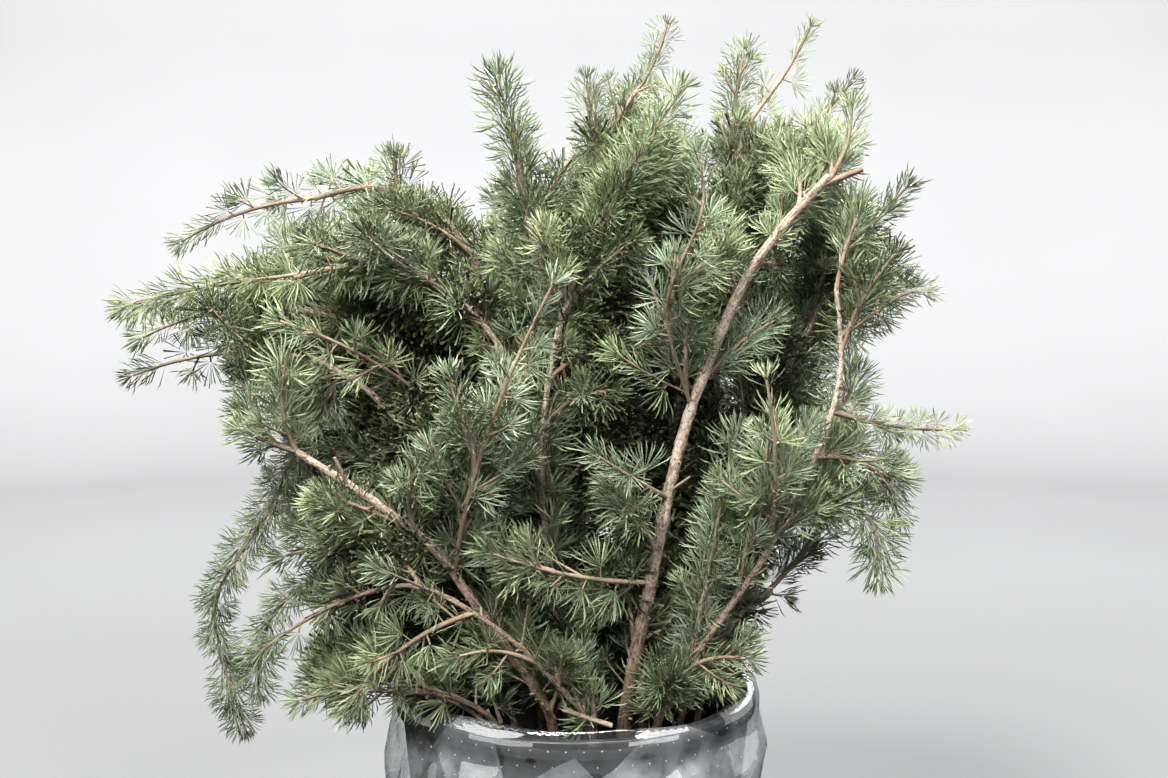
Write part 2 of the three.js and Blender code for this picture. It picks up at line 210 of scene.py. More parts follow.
# copies of a shape on points: facing, roll, size and kind are read from the points
def copiesTree():
    tree, source, sink = newTree("copies", (
        ("Shapes", "NodeSocketCollection"), ("Material", "NodeSocketMaterial")))
    shapes = addNode(tree, "GeometryNodeCollectionInfo", {
        "Collection": source.outputs["Shapes"], "Separate Children": True, "Reset Children": True})
    roll = addNode(tree, "FunctionNodeAxisAngleToRotation", {
        "Axis": (0, 0, 1), "Angle": readAttribute(tree, "roll", "FLOAT")})
    turned = addNode(tree, "FunctionNodeAlignRotationToVector", {
        "Rotation": roll.outputs[0], "Vector": readAttribute(tree, "facing", "FLOAT_VECTOR")}, axis="Z")
    copies = addNode(tree, "GeometryNodeInstanceOnPoints", {
        "Points": source.outputs["Geometry"], "Instance": shapes.outputs[0], "Pick Instance": True,
        "Instance Index": readAttribute(tree, "kind", "INT"), "Rotation": turned.outputs[0],
        "Scale": readAttribute(tree, "size", "FLOAT")})
    endTree(tree, copies.outputs[0], source, sink)
    return tree


# round wood along chains of edges: the radius is read from the points
def woodTree():
    tree, source, sink = newTree("wood", (("Sides", "NodeSocketInt"), ("Material", "NodeSocketMaterial")))
    curve = addNode(tree, "GeometryNodeMeshToCurve", {"Mesh": source.outputs["Geometry"]})
    section = addNode(tree, "GeometryNodeCurvePrimitiveCircle", {
        "Resolution": source.outputs["Sides"], "Radius": 1.0}, mode="RADIUS")
    tube = addNode(tree, "GeometryNodeCurveToMesh", {
        "Curve": curve.outputs[0], "Profile Curve": section.outputs[0],
        "Scale": readAttribute(tree, "girth", "FLOAT"), "Fill Caps": True})
    smooth = addNode(tree, "GeometryNodeSetShadeSmooth", {"Geometry": tube.outputs[0]})
    endTree(tree, smooth.outputs[0], source, sink)
    return tree


trees = {"copies": copiesTree(), "wood": woodTree()}


def copyShapes(name, shapes, points, facing, roll, size, kind, material, shade=None):
    piece = newPiece(name, np.asarray(points) * mm, [])
    setAttribute(piece.data, "facing", "FLOAT_VECTOR", facing)
    setAttribute(piece.data, "kind", "INT", kind)
    for label, values in (("roll", roll), ("size", size), ("shade", shade)):
        if values is not None:
            setAttribute(piece.data, label, "FLOAT", values)
    return grow(piece, trees["copies"], Shapes=shapes, Material=material)


def growWood(name, lines, sides, material):
    points, girths, edges = [], [], []
    for line, radii in lines:
        first = len(points)
        points.extend(line * mm)
        girths.extend(np.asarray(radii) * mm)
        edges.extend((first + i, first + i + 1) for i in range(len(line) - 1))
    piece = newPiece(name, points, [], edges=edges)
    setAttribute(piece.data, "girth", "FLOAT", girths)
    return grow(piece, trees["wood"], Sides=sides, Material=material)


def shapeShelf(name, shapes):
    shelf = bpy.data.collections.new(name)
    bpy.context.scene.collection.children.link(shelf)
    for index, (points, faces, along) in enumerate(shapes):
        mesh = bpy.data.meshes.new(f"{name}{index:02d}")
        mesh.from_pydata([tuple(p) for p in np.asarray(points) * mm], [], faces)
        setAttribute(mesh, "along", "FLOAT", along)
        shelf.objects.link(bpy.data.objects.new(f"{name}{index:02d}", mesh))
    return shelf


def clearShelf(shelf):
    for shape in list(shelf.objects):
        mesh = shape.data
        bpy.data.objects.remove(shape)
        bpy.data.meshes.remove(mesh)
    bpy.data.collections.remove(shelf)


# Camera and light

camera = {  # metres and degrees
    "place": (0.0065, -1.2785, 0.686), "down": 6.5, "lens": 50, "sensor": 36, "far": 60}

eye = bpy.data.objects.new("camera", bpy.data.cameras.new("camera"))
eye.location = camera["place"]
eye.rotation_euler = (math.radians(90 - camera["down"]), 0, 0)
eye.data.lens = camera["lens"]
eye.data.sensor_width = camera["sensor"]
eye.data.clip_end = camera["far"]
bpy.context.collection.objects.link(eye)
bpy.context.scene.camera = eye
bpy.context.scene.view_settings.view_transform = "Standard"

studio = {
    "sky": (  # from straight below to straight above
        (0.2, (0.005, 0.005, 0.006)), (0.5, (0.017, 0.018, 0.019)), (0.9, (0.11, 0.113, 0.118))),
    "lamps": (  # name, place and target in metres, size, spread in degrees, watts, colour
        ("key", (-0.9, -1.9, 2.75), (0, 0, 0.5), 0.9, 180, 212, (1.0, 0.985, 0.955)),
        ("fill", (1.9, -2.3, 1.5), (0, 0, 0.45), 0.5, 180, 36, (0.98, 0.99, 1.0)),
        ("top", (0.15, -0.25, 3.0), (0, 0, 0.4), 1.4, 180, 198, (1.0, 1.0, 0.99)),
        ("rear", (0.5, 2.6, 1.9), (0, 0, 0.6), 0.9, 38, 11, (0.98, 0.99, 1.0)),
        ("wall", (0.0, 1.7, 2.9), (0, 4.0, 1.2), 2.4, 180, 58, (1.0, 1.0, 1.0)),
    ),
    "windows": (  # seen only in what is glossy: name, place and target, width and height in metres, watts
        ("leftWindow", (-2.54, -1.27, 1.5), (0, 0, 0.3), (2.8, 1.4), 98),
        ("rightWindow", (2.35, -1.65, 1.45), (0, 0, 0.3), (1.65, 1.2), 48),
        ("leftCard", (-1.7, -1.6, 0.32), (0, 0, 0.28), (1.8, 0.55), 11),
        ("rightCard", (1.6, -1.75, 0.30), (0, 0, 0.28), (1.2, 0.5), 9),
        ("frontCard", (0.05, -0.72, 0.11), (0, 0, 0.12), (1.3, 0.2), 0.4),
        ("leftWing", (-1.9, 1.0, 0.5), (0, 0, 0.28), (1.6, 1.2), 9),
        ("rightWing", (1.9, 1.0, 0.5), (0, 0, 0.28), (1.6, 1.2), 9),
    ),
    "flat": 1.5, "floorRadius": 2.9, "bend": 1.2, "bendSteps": 20, "wallTop": 3.2, "segments": 72,
    # painted shade: the floor is darker round the bunch and pales out to the wall's grey over the fade
    # distances
    "floorGrey": (0.205, 0.207, 0.211), "wallGrey": (0.66, 0.664, 0.68), "fade": (0.8, 4.1),
}


def aim(target, place):
    look = np.subtract(target, place)
    flat = math.hypot(look[0], look[1])
    return (math.atan2(flat, -look[2]), 0, math.atan2(look[1], look[0]) - math.pi / 2)


def addLamp(name, place, target, width, height, watts, colour):
    lamp = bpy.data.lights.new(name, "AREA")
    lamp.shape = "RECTANGLE"
    lamp.size = width
    lamp.size_y = height
    lamp.energy = watts
    lamp.color = colour
    holder = bpy.data.objects.new(name, lamp)
    holder.location = place
    holder.rotation_euler = aim(target, place)
    holder.visible_camera = False
    bpy.context.collection.objects.link(holder)
    return holder


def lightStudio():
    world = bpy.data.worlds.new("studio")
    world.use_nodes = True
    tree = world.node_tree
    where = addNode(tree, "ShaderNodeTexCoord").outputs["Generated"]
    height = addAxis(tree, where, "Z")
    sky = addRamp(tree, addRange(tree, height, -1.0, 1.0), studio["sky"])
    tree.links.new(sky, tree.nodes["Background"].inputs["Color"])
    bpy.context.scene.world = world
    for name, place, target, size, spread, watts, colour in studio["lamps"]:
        lamp = addLamp(name, place, target, size, size, watts, colour)
        lamp.data.spread = math.radians(spread)
    for name, place, target, (width, height), watts in studio["windows"]:
        window = addLamp(name, place, target, width, height, watts, (1, 1, 1))
        window.visible_diffuse = False


def makeFloor():
    material, tree, shader, where = newMaterial("paleFloor", {"Roughness": 0.85, "Specular IOR Level": 0.1})
    grain = addNoise(tree, where, 1.3, 3)
    mottle = addRamp(tree, grain, ((0.3, (0.95, 0.95, 0.95)), (0.7, (1, 1, 1))))
    away = addNode(tree, "ShaderNodeVectorMath", {0: where}, operation="LENGTH").outputs["Value"]
    # painted shade: a darker floor round the bunch, paler towards the wall
    share = addRange(tree, away, *studio["fade"])
    paint = mixColours(tree, share, studio["floorGrey"], studio["wallGrey"])
    tree.links.new(multiply(tree, paint, mottle), shader.inputs["Base Color"])
    radius, bend = studio["floorRadius"], studio["bend"]
    line = [(0.0, 0.0), (studio["flat"], 0.0)]
    line += [(radius + bend * math.sin(a), bend * (1 - math.cos(a)))
             for a in np.linspace(0, math.pi / 2, studio["bendSteps"])]
    line.append((radius + bend, studio["wallTop"]))
    floor = lathe("floor", [(r / mm, z / mm) for r, z in line], studio["segments"], material)
    floor.visible_diffuse = False  # the room's own glow would wash out the crown and the film
    floor.visible_glossy = False


lightStudio()
makeFloor()
print("studio: floor, light and camera stand")


# Bucket

bucket = {
    "height": 300, "rim": 145, "base": 112, "wall": 3, "floor": 4, "foot": 3.0, "corner": 4, "segments": 112,
    "recess": 0.8, "recessEdge": (9, 8),  # a hollow underside, and where its edge is
    "collar": 14, "collarWidth": 5, "collarRound": 1.0, "band": (5.5, 4.5, 0.3), "lip": 2.0,
    "ring": 1.1, "ringReach": 3.2, "ringEdge": 5, "rings": (0.30, 0.62),  # low moulded rings round the wall
}


def bucketPlastic():
    material, tree, shader, where = newMaterial("blackPlastic", {"Specular IOR Level": 0.45})
    dust = addNoise(tree, where, 55, 6, 0.7)
    lines = addNode(tree, "ShaderNodeMapping", {"Vector": where, "Scale": (60, 60, 900)}).outputs[0]
    base = addRamp(tree, addNoise(tree, where, 14, 5), (
        (0.3, (0.008, 0.009, 0.010)), (0.75, (0.020, 0.021, 0.023))))
    dusty = addRamp(tree, dust, ((0.56, (0, 0, 0)), (0.80, (0.09, 0.09, 0.09))))
    tree.links.new(mixColours(tree, 1.0, base, dusty, "ADD"), shader.inputs["Base Color"])
    streaks = addNoise(tree, lines, 1, 3)
    gloss = addRamp(tree, streaks, ((0.35, (0.34, 0.34, 0.34)), (0.7, (0.55, 0.55, 0.55))))
    tree.links.new(gloss, shader.inputs["Roughness"])
    addBump(tree, shader, dust, 0.12, 0.0006)
    return material


def arc(centre, radius, start, end, steps):
    turns = np.radians(np.linspace(start, end, steps))
    return [(centre[0] + radius * math.cos(t), centre[1] + radius * math.sin(t)) for t in turns]


def bucketProfile():
    b = bucket
    rise = b["height"] - b["collar"]
    wallTop = b["rim"] - b["collarWidth"]

    def side(z):
        return b["base"] + (wallTop - b["base"]) * z / rise

    hollow, ledge = (b["base"] - inset for inset in b["recessEdge"])
    line = [(0, b["recess"]), (hollow, b["recess"]), (ledge, 0), (b["base"] - b["foot"], 0)]
    line += arc((b["base"] - b["foot"], b["foot"]), b["foot"], -80, 0, 5)
    for share in b["rings"]:
        z, reach, edge = share * rise, b["ringReach"], b["ringEdge"]
        line += [(side(z - edge), z - edge)]
        line += [(side(z + d) + b["ring"] * math.cos(d / reach * math.pi / 2), z + d)
                 for d in (-reach, -2, 0, 2, reach)]
        line += [(side(z + edge), z + edge)]
    line += [(side(rise - 1.5), rise - 1.5), (side(rise) + 0.6, rise - 0.4)]
    low, high, step = b["band"]
    line += arc((b["rim"] - b["collarRound"], rise + b["collarRound"]), b["collarRound"], -90, 0, 4)
    line += [(b["rim"], b["height"] - low), (b["rim"] - step, b["height"] - high)]
    line += arc((b["rim"] - b["lip"] - step, b["height"] - b["lip"]), b["lip"], 10, 90, 5)
    mouth = wallTop - b["wall"]
    line += arc((mouth + b["lip"], b["height"] - b["lip"]), b["lip"], 95, 180, 5)
    line += [(mouth - 1.2, rise - 2), (mouth - 1.8, rise - 6)]
    line += [(b["base"] - b["wall"], b["floor"] + b["corner"])]
    line += arc((b["base"] - b["wall"] - b["corner"], b["floor"] + b["corner"]), b["corner"], 0, -90, 5)
    line += [(0, b["floor"])]
    return line


bucketPiece = lathe("bucketShell", bucketProfile(), bucket["segments"], bucketPlastic())
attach(bucketPiece, "root")
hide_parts("bucket")
print("bucket: shell turned,", len(bucketPiece.data.polygons), "faces")


# Film sleeve

film = {
    "foot": 137.5, "shoulder": 146.6, "shoulderHeight": 196, "bottom": 2.5, "top": 308,
    "edgeWave": 2.6, "edgeWaves": ((3, 0.6), (8, 0.4)), "skin": 0.3, "spacing": 6.5, "crease": 1.5,
    "ripple": 0.25, "ripples": (23, 7), "jitter": 0.25, "seed": 12, "room": 0.45,  # in spacings
    "foldRows": (  # height, the width of a fold, and the least and most that its corner stands out
        (2.5, 60, -2, 4), (48, 60, -3, 6), (98, 60, -4, 6), (148, 58, -4, 8), (198, 56, -5, 9),
        (252, 50, -5, 11), (284, 46, 0.2, 2.4), (314, 46, 0, 1)),
    "foldShift": (0.3, 6), "foldsLoose": 270,  # how far a corner moves across and up, below a height
    "roll": (  # over the rim: height and how far the film stands out
        (270, 1.0), (288, 1.3), (294, 1.2), (298, 0.8), (301, 0.1), (304, -1.1), (307, -2.8), (312, -6.4)),
    "rollFoot": 282, "rollBlend": (268, 288), "rollRows": 15, "pucker": 0.3, "puckers": 11,
    "margin": 150, "holeSpacing": 13.5, "holeRadius": 0.5, "holeRim": 0.2, "holeSides": 6,
}


def clearFilm():
    material, tree, shader, where = newMaterial("clearFilm", {
        "Base Color": (0.88, 0.905, 0.95, 1), "Roughness": 0.5, "Specular IOR Level": 0.0})
    rub = addRange(tree, addNoise(tree, where, 45, 4, 0.6), 0.3, 0.7, 0.3, 1.5)
    through = addNode(tree, "ShaderNodeBsdfTransparent", {"Color": (0.985, 0.99, 0.99, 1)}).outputs[0]
    shine = addNode(tree, "ShaderNodeBsdfGlossy", {"Color": (1, 1, 1, 1), "Roughness": 0.035}).outputs[0]
    facing = addNode(tree, "ShaderNodeLayerWeight", {"Blend": 0.5}).outputs["Facing"]
    steep = addMath(tree, "POWER", facing, 4.0)
    edge = addRange(tree, steep, 0, 1, 0.045, 0.32)
    haze = addRange(tree, steep, 0, 1, 0.085, 0.46)
    height = addAxis(tree, where, "Z")
    below = addRange(tree, height, 0.272, 0.292, 1.0, 0.35)  # clearer over the rim
    facet = addNode(tree, "ShaderNodeTexVoronoi", {"Vector": where, "Scale": 19}).outputs["Color"]
    catch = addRange(tree, facet, 0.25, 0.75, 0.3, 1.7)  # painted light: how much light each fold seems to take, a random strength per cell
    for factor in (below, catch, rub):
        haze = addMath(tree, "MULTIPLY", haze, factor)
    clear = addNode(tree, "ShaderNodeMixShader", {0: edge, 1: through, 2: shine}).outputs[0]
    hazy = addNode(tree, "ShaderNodeMixShader", {0: haze, 1: clear, 2: shader.outputs[0]}).outputs[0]
    tree.links.new(hazy, tree.nodes["Material Output"].inputs["Surface"])
    return material


def holeRimFilm():
    material, tree, shader, where = newMaterial("filmHoles", {"Roughness": 0.3, "Specular IOR Level": 0.6})
    mottle = addNoise(tree, where, 160, 2)
    grey = addRamp(tree, mottle, ((0.3, (0.36, 0.37, 0.38)), (0.7, (0.62, 0.64, 0.65))))
    tree.links.new(grey, shader.inputs["Base Color"])
    return material


def spotTree(spots):
    tree = KDTree(len(spots))
    for k, (x, z) in enumerate(spots):
        tree.insert((x, z, 0), k)
    tree.balance()
    return tree


# triangles between spots on the unrolled film, which closes on itself at both ends
def joinStrip(spots, span):
    left = np.flatnonzero(spots[:, 0] < film["margin"])
    right = np.flatnonzero(spots[:, 0] > span - film["margin"])
    index = np.concatenate((np.arange(len(spots)), left, right))
    shift = np.concatenate((np.zeros(len(spots)), np.full(len(left), span), np.full(len(right), -span)))
    flat = spots[index] + np.column_stack((shift, np.zeros(len(shift))))
    result = delaunay_2d_cdt([Vector(spot) for spot in flat.tolist()], [], [], 0, 1e-6)
    triangles = [tuple(result[3][v][0] for v in face) for face in result[2]]
    return flat, index, triangles


def crossFlat(a, b):
    return a[..., 0] * b[..., 1] - a[..., 1] * b[..., 0]


# how far each spot stands out, on flat facets between the folds' corners
def facetLift(spots, flat, triangles, lifts):
    found = np.zeros(len(spots))
    for a, b, c in triangles:
        one, two = flat[b] - flat[a], flat[c] - flat[a]
        area = crossFlat(one, two)
        if abs(area) < 1e-6:
            continue
        shareB = crossFlat(spots - flat[a], two) / area
        shareC = crossFlat(one, spots - flat[a]) / area
        inside = (shareB > -1e-6) & (shareC > -1e-6) & (shareB + shareC < 1 + 1e-6)
        found[inside] = (lifts[a] + shareB * (lifts[b] - lifts[a]) + shareC * (lifts[c] - lifts[a]))[inside]
    return found


def filmEdge(across, phases):
    turn = across / film["shoulder"]
    waves = [share * np.sin(count * turn + phase) for (count, share), phase in zip(film["edgeWaves"], phases)]
    return film["top"] + film["edgeWave"] * (waves[0] + waves[1])


# corners of the large folds, row by row, and spots that fill the film and follow the folds' creases
def filmSpots(draw, span, phases):
    folds, lifts = [], []
    shift, climb = film["foldShift"]
    for row, (height, width, low, high) in enumerate(film["foldRows"]):
        count = round(span / width)
        ends = row in (0, len(film["foldRows"]) - 1)
        for k in range(count):
            across = (k + 0.5 * (row % 2) + draw.uniform(-shift, shift)) * span / count % span
            rise = 0 if ends else draw.uniform(-climb, climb) * (height < film["foldsLoose"])
            folds.append((across, height + rise))
            lifts.append(draw.uniform(low, high))
    folds, lifts = np.array(folds), np.array(lifts)
    flat, index, triangles = joinStrip(folds, span)
    spots, seen = [], set()
    for a, b, c in triangles:
        if not 0 <= flat[[a, b, c], 0].mean() < span:
            continue
        for one, two in ((a, b), (b, c), (c, a)):
            name = tuple(sorted((index[one], index[two])))
            if name in seen:
                continue
            seen.add(name)
            way = flat[two] - flat[one]
            length = np.linalg.norm(way)
            beside = np.array((-way[1], way[0])) / length * film["crease"]
            steps = max(2, round(length / film["spacing"]) + 1)
            for s in np.linspace(0, 1, steps)[:-1]:
                spots.append(flat[one] + way * s)
                if 0 < s:  # close beside a crease the facets are flat, so the crease is a narrow round
                    spots += [flat[one] + way * s + beside, flat[one] + way * s - beside]
    spots = [(x % span, z) for x, z in spots if film["bottom"] + 1 < z < film["rollFoot"] - 1]
    rims = [0] * len(spots)
    tree, jitter = spotTree(spots), film["jitter"]
    columns, rows = round(span / film["spacing"]), round(film["rollFoot"] / film["spacing"])
    for row in range(rows):
        for column in range(columns):
            x = (column + 0.5 * (row % 2) + draw.uniform(-jitter, jitter)) * span / columns % span
            share = row / rows
            if row:
                share += draw.uniform(-jitter, jitter) / rows
            z = film["bottom"] + share * (film["rollFoot"] - film["bottom"])
            if row == 0 or tree.find((x, z, 0))[2] > film["spacing"] * film["room"]:
                spots.append((x, z))
                rims.append(-1 if row == 0 else 0)
    for row in range(film["rollRows"] + 1):  # even rows over the rim
        for column in range(columns):
            x = (column + 0.5 * (row % 2)) * span / columns
            rise = (filmEdge(x, phases) - film["rollFoot"]) * row / film["rollRows"]
            spots.append((x, film["rollFoot"] + rise))
            rims.append(int(row == film["rollRows"]))
    spots = np.array(spots)
    return spots, facetLift(spots, flat, triangles, lifts[index]), np.array(rims)


def makeFilm():
    draw = np.random.default_rng(film["seed"])
    span = 2 * math.pi * film["shoulder"]
    phases = draw.uniform(0, 6.28, 2)
    spots, lifts, rims = filmSpots(draw, span, phases)
    share = np.clip((spots[:, 1] - film["bottom"]) / (film["shoulderHeight"] - film["bottom"]), 0, 1)
    turn = spots[:, 0] / film["shoulder"]
    low, high = film["rollBlend"]
    over = np.clip((spots[:, 1] - low) / (high - low), 0, 1)
    over = over * over * (3 - 2 * over)
    rolled = np.interp(spots[:, 1], *zip(*film["roll"]))
    rolled = rolled + film["pucker"] * np.sin(film["puckers"] * turn + phases[1])
    radius = film["foot"] + (film["shoulder"] - film["foot"]) * share + lifts * (1 - over) + rolled * over
    around, upward = film["ripples"]
    waves = np.sin(around * turn + phases[0]) * np.sin(spots[:, 1] / upward + phases[1])
    radius += film["ripple"] * (1 + waves)
    skins = [np.column_stack((r * np.cos(turn), r * np.sin(turn), spots[:, 1]))
             for r in (radius, radius - film["skin"])]
    flat, index, triangles = joinStrip(spots, span)
    faces, edges = [], {}
    inside = len(spots)
    for face in triangles:
        a, b, c = (int(index[v]) for v in face)
        outside = abs(rims[a] + rims[b] + rims[c]) == 3  # beyond the wavy edge
        if outside or not 0 <= flat[list(face), 0].mean() < span:
            continue
        faces += [(a, b, c), (inside + c, inside + b, inside + a)]
        edges.update(dict.fromkeys(((a, b), (b, c), (c, a))))
    for a, b in edges:
        if (b, a) not in edges:  # a cut edge, below or above
            faces.append((b, a, inside + a, inside + b))
    piece = newPiece("filmWrap", np.vstack(skins) * mm, faces, clearFilm())
    normals = np.zeros(2 * inside * 3)
    piece.data.vertex_normals.foreach_get("vector", normals)
    return piece, spots, skins[0], normals.reshape(-1, 3)[:inside]


# pin holes with a raised rim, on a grid that the film's crumples have pulled about
def makeHoles(spots, places, normals):
    rim, ring, sides = film["holeRadius"], film["holeRim"], film["holeSides"]
    turns = [2 * math.pi * k / sides for k in range(sides)]
    points = [(rim * math.cos(t), rim * math.sin(t), -0.1) for t in turns]
    points += [(rim * 0.8 * math.cos(t), rim * 0.8 * math.sin(t), ring) for t in turns]
    faces = [(k, (k + 1) % sides, sides + (k + 1) % sides, sides + k) for k in range(sides)]
    faces += [tuple(range(sides, 2 * sides)), tuple(range(sides - 1, -1, -1))]
    shelf = shapeShelf("hole", [(points, faces, [0] * len(points))])
    tree = spotTree(spots)
    span = 2 * math.pi * film["shoulder"]
    count = round(span / film["holeSpacing"])
    heights = np.arange(film["bottom"] + 8, film["top"] - 5, film["holeSpacing"])
    chosen = sorted({tree.find(((i + 0.5 * (r % 2)) * span / count, z, 0))[1]
                     for r, z in enumerate(heights) for i in range(count)})
    plain = np.zeros(len(chosen))
    piece = copyShapes("filmHoles", shelf, places[chosen], normals[chosen], plain, plain + 1, plain,
                       holeRimFilm())
    clearShelf(shelf)
    return piece


filmPiece, filmSpotList, filmPlaces, filmNormals = makeFilm()
holePiece = makeHoles(filmSpotList, filmPlaces, filmNormals)
for piece in (filmPiece, holePiece):
    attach(piece, "root")
    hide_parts("film_sleeve")
print("film:", len(filmPiece.data.polygons), "faces,", len(holePiece.data.polygons), "hole faces")


# Stems

# where each leaves the bucket's mouth, where its line ends, its bow, its girths, how much of it is bare
stems = {
    "main": ((38, -70), (190, -60, 705), None, (13, 6.4), 1),
    "right": ((62, -85), (193, -80, 625), None, (8.8, 3.2), 1),
    "front_left": ((-16, -90), (-207, -95, 505), None, (10, 5.4), 1),
    "low_left": ((14, -105), (-120, -105, 408), (0, -8, 18), (5.6, 3.5), 0.75),
    "rim_left": ((-56, -98), (-135, -108, 326), (0, 0, 10), (7, 4.4), 0.4),
    "left_mid": ((-50, -45), (-235, -30, 572), (20, 0, 65), (9, 4.4), 0.82),
    "left_upper": ((-30, -12), (-250, 5, 600), (25, 0, 90), (9, 4.4), 0.5),
    "left_top": ((-8, -35), (-215, -45, 632), (55, 0, 110), (9, 5), 0.3),
    "arch": ((-30, 45), (-215, 65, 690), (45, 0, 135), (9, 4.4), 0.84),
    "upright": ((-4, -8), (-50, -28, 745), (12, 0, 0), (9.5, 5), 0.22),
    "top_mid": ((10, -50), (40, -62, 712), (-50, 0, 10), (9, 5), 0.2),
    "top_back": ((15, 28), (37, 40, 762), (-45, 0, 10), (9, 4.4), 0.95),
    "top_right": ((60, 30), (140, 40, 755), (-15, 0, 10), (10, 5), 0.88),
    "behind_right": ((90, -5), (215, 10, 645), (-15, 0, 5), (10, 5), 0.12),
    "low_right": ((98, -46), (152, -40, 388), (-8, 0, 10), (7.5, 4.6), 0.55),
    "back_left": ((-60, 70), (-180, 140, 545), (15, 10, 60), (9, 4.6), 0.22),
    "back_mid": ((0, 85), (-25, 150, 630), (10, 15, 30), (9, 4.6), 0.2),
    "back_right": ((60, 80), (150, 140, 590), (-15, 10, 40), (9, 4.6), 0.22),
}
ways = {  # stems that bend more than once have these places on the way to the tip, and no bow
    "main": ((51, -70, 371), (62, -70, 425), (77, -69, 502), (97, -68, 563), (126, -66, 630),
             (159, -63, 678)),
    "right": ((85, -85, 340), (108, -86, 374), (138, -86, 415), (153, -86, 447), (181, -85, 504),
              (194, -84, 539), (199, -83, 562), (196, -82, 595)),
    "front_left": ((-40, -93, 342), (-60, -95, 367), (-104, -98, 436), (-148, -99, 468), (-186, -98, 495)),
}
wood = {  # its nodes are low swellings
    "footSpread": 0.68, "straightHeight": 165, "footLift": 4.6, "step": 3.4, "soft": 30, "sides": 14,
    "wayStep": 7, "waySoft": 8, "wander": 1.7, "wanderSoft": 40, "wanderFrom": 50, "leaderRadius": 2.1,
    "node": 0.16, "nodeWidth": 4.5, "nodeFirst": (10, 40), "nodeSpacing": (22, 58), "nodeLast": 15,
    "ridges": 0.08, "waves": 7, "lobes": (2, 6), "pitch": (0.01, 0.09), "rough": 0.04, "seed": 5,
    "knots": 0.06, "knotHeight": 1.0, "knotWidth": 2.2,
}


def bowedCurve(start, tip, bow):
    start, tip = np.asarray(start, float), np.asarray(tip, float)
    middle = (start + tip) / 2 + 2 * np.asarray(bow, float)

    def point(share):
        share = np.atleast_1d(np.asarray(share, float))[:, None]
        return (1 - share) ** 2 * start + 2 * share * (1 - share) * middle + share ** 2 * tip

    return point


# how far along a line each of its points is
def reachOf(line):
    return np.concatenate(((0,), np.cumsum(np.linalg.norm(np.diff(line, axis=0), axis=1))))


# rows of a table at places between its marks
def readAt(table, marks, places):
    return np.stack([np.interp(places, marks, column) for column in table.T], axis=-1)


def resample(line, step):
    reach = reachOf(line)
    count = max(2, int(round(reach[-1] / step)) + 1)
    return readAt(line, reach, np.linspace(0, reach[-1], count))


def lengthOf(line):
    return float(np.linalg.norm(np.diff(line, axis=0), axis=1).sum())


def soften(line, times):
    line = line.copy()
    for _ in range(times):
        line[1:-1] = (line[:-2] + 2 * line[1:-1] + line[2:]) / 4
    return line


def stemLine(name):
    mouth, tip, bow = stems[name][:3]
    start = (*mouth, bucket["height"])
    if name not in ways:
        return bowedCurve(start, tip, bow)
    line = resample(np.array((start, *ways[name], tip), float), wood["wayStep"])
    line = soften(line, wood["waySoft"])

    def point(share):
        return readAt(line, np.arange(len(line)), np.atleast_1d(share) * (len(line) - 1))

    return point


# foot on the bucket's floor, straight up, over to the mouth and out along the line
def stemAxis(name):
    x, y = stems[name][0]
    foot = np.array((x * wood["footSpread"], y * wood["footSpread"], wood["footLift"]))
    knee = np.array((foot[0], foot[1], wood["straightHeight"]))
    mouth = np.array((x, y, bucket["height"]), float)
    low = bowedCurve(foot, mouth, (knee - (foot + mouth) / 2) / 2)(np.linspace(0, 1, 24))
    high = stemLine(name)(np.linspace(0, 1, 60))
    line = soften(resample(np.vstack((low[:-1], high)), wood["step"]), wood["soft"])
    split = np.linalg.norm(line - mouth, axis=1).argmin()
    draw = np.random.default_rng(wood["seed"] + list(stems).index(name))
    drift = soften(draw.normal(0, 1, line.shape), wood["wanderSoft"])
    drift *= wood["wander"] / np.abs(drift).max()
    free = np.clip((np.arange(len(line)) - split) * wood["step"] / wood["wanderFrom"], 0, 1)
    return line + drift * free[:, None], split


def stemRadii(name, line, split):
    (thick, thin), bare = stems[name][3:]
    thick, thin = thick / 2, thin / 2
    draw = np.random.default_rng(wood["seed"] + 50 + list(stems).index(name))
    reach = reachOf(line)
    bareEnd = reach[split] + bare * (reach[-1] - reach[split])
    radii = thick + (thin - thick) * np.clip(reach / bareEnd, 0, 1)
    if bare < 1:
        beyond = np.clip((reach - bareEnd) / (reach[-1] - bareEnd), 0, 1)
        radii = radii + (wood["leaderRadius"] - thin) * beyond
    place = reach[split] + draw.uniform(*wood["nodeFirst"])
    while place < reach[-1] - wood["nodeLast"]:
        near = np.exp(-((reach - place) / wood["nodeWidth"]) ** 2)
        radii = radii * (1 + wood["node"] * draw.uniform(0.3, 1) * near)
        place += draw.uniform(*wood["nodeSpacing"])
    return radii


def frames(line):
    along = np.gradient(line, axis=0)
    along /= np.linalg.norm(along, axis=1)[:, None]
    first = np.cross(along[0], (0.31, 0.95, 0.05))
    sides = [first / np.linalg.norm(first)]
    for k in range(1, len(line)):
        side = sides[-1] - along[k] * np.dot(sides[-1], along[k])
        sides.append(side / np.linalg.norm(side))
    sides = np.array(sides)
    return along, sides, np.cross(along, sides)


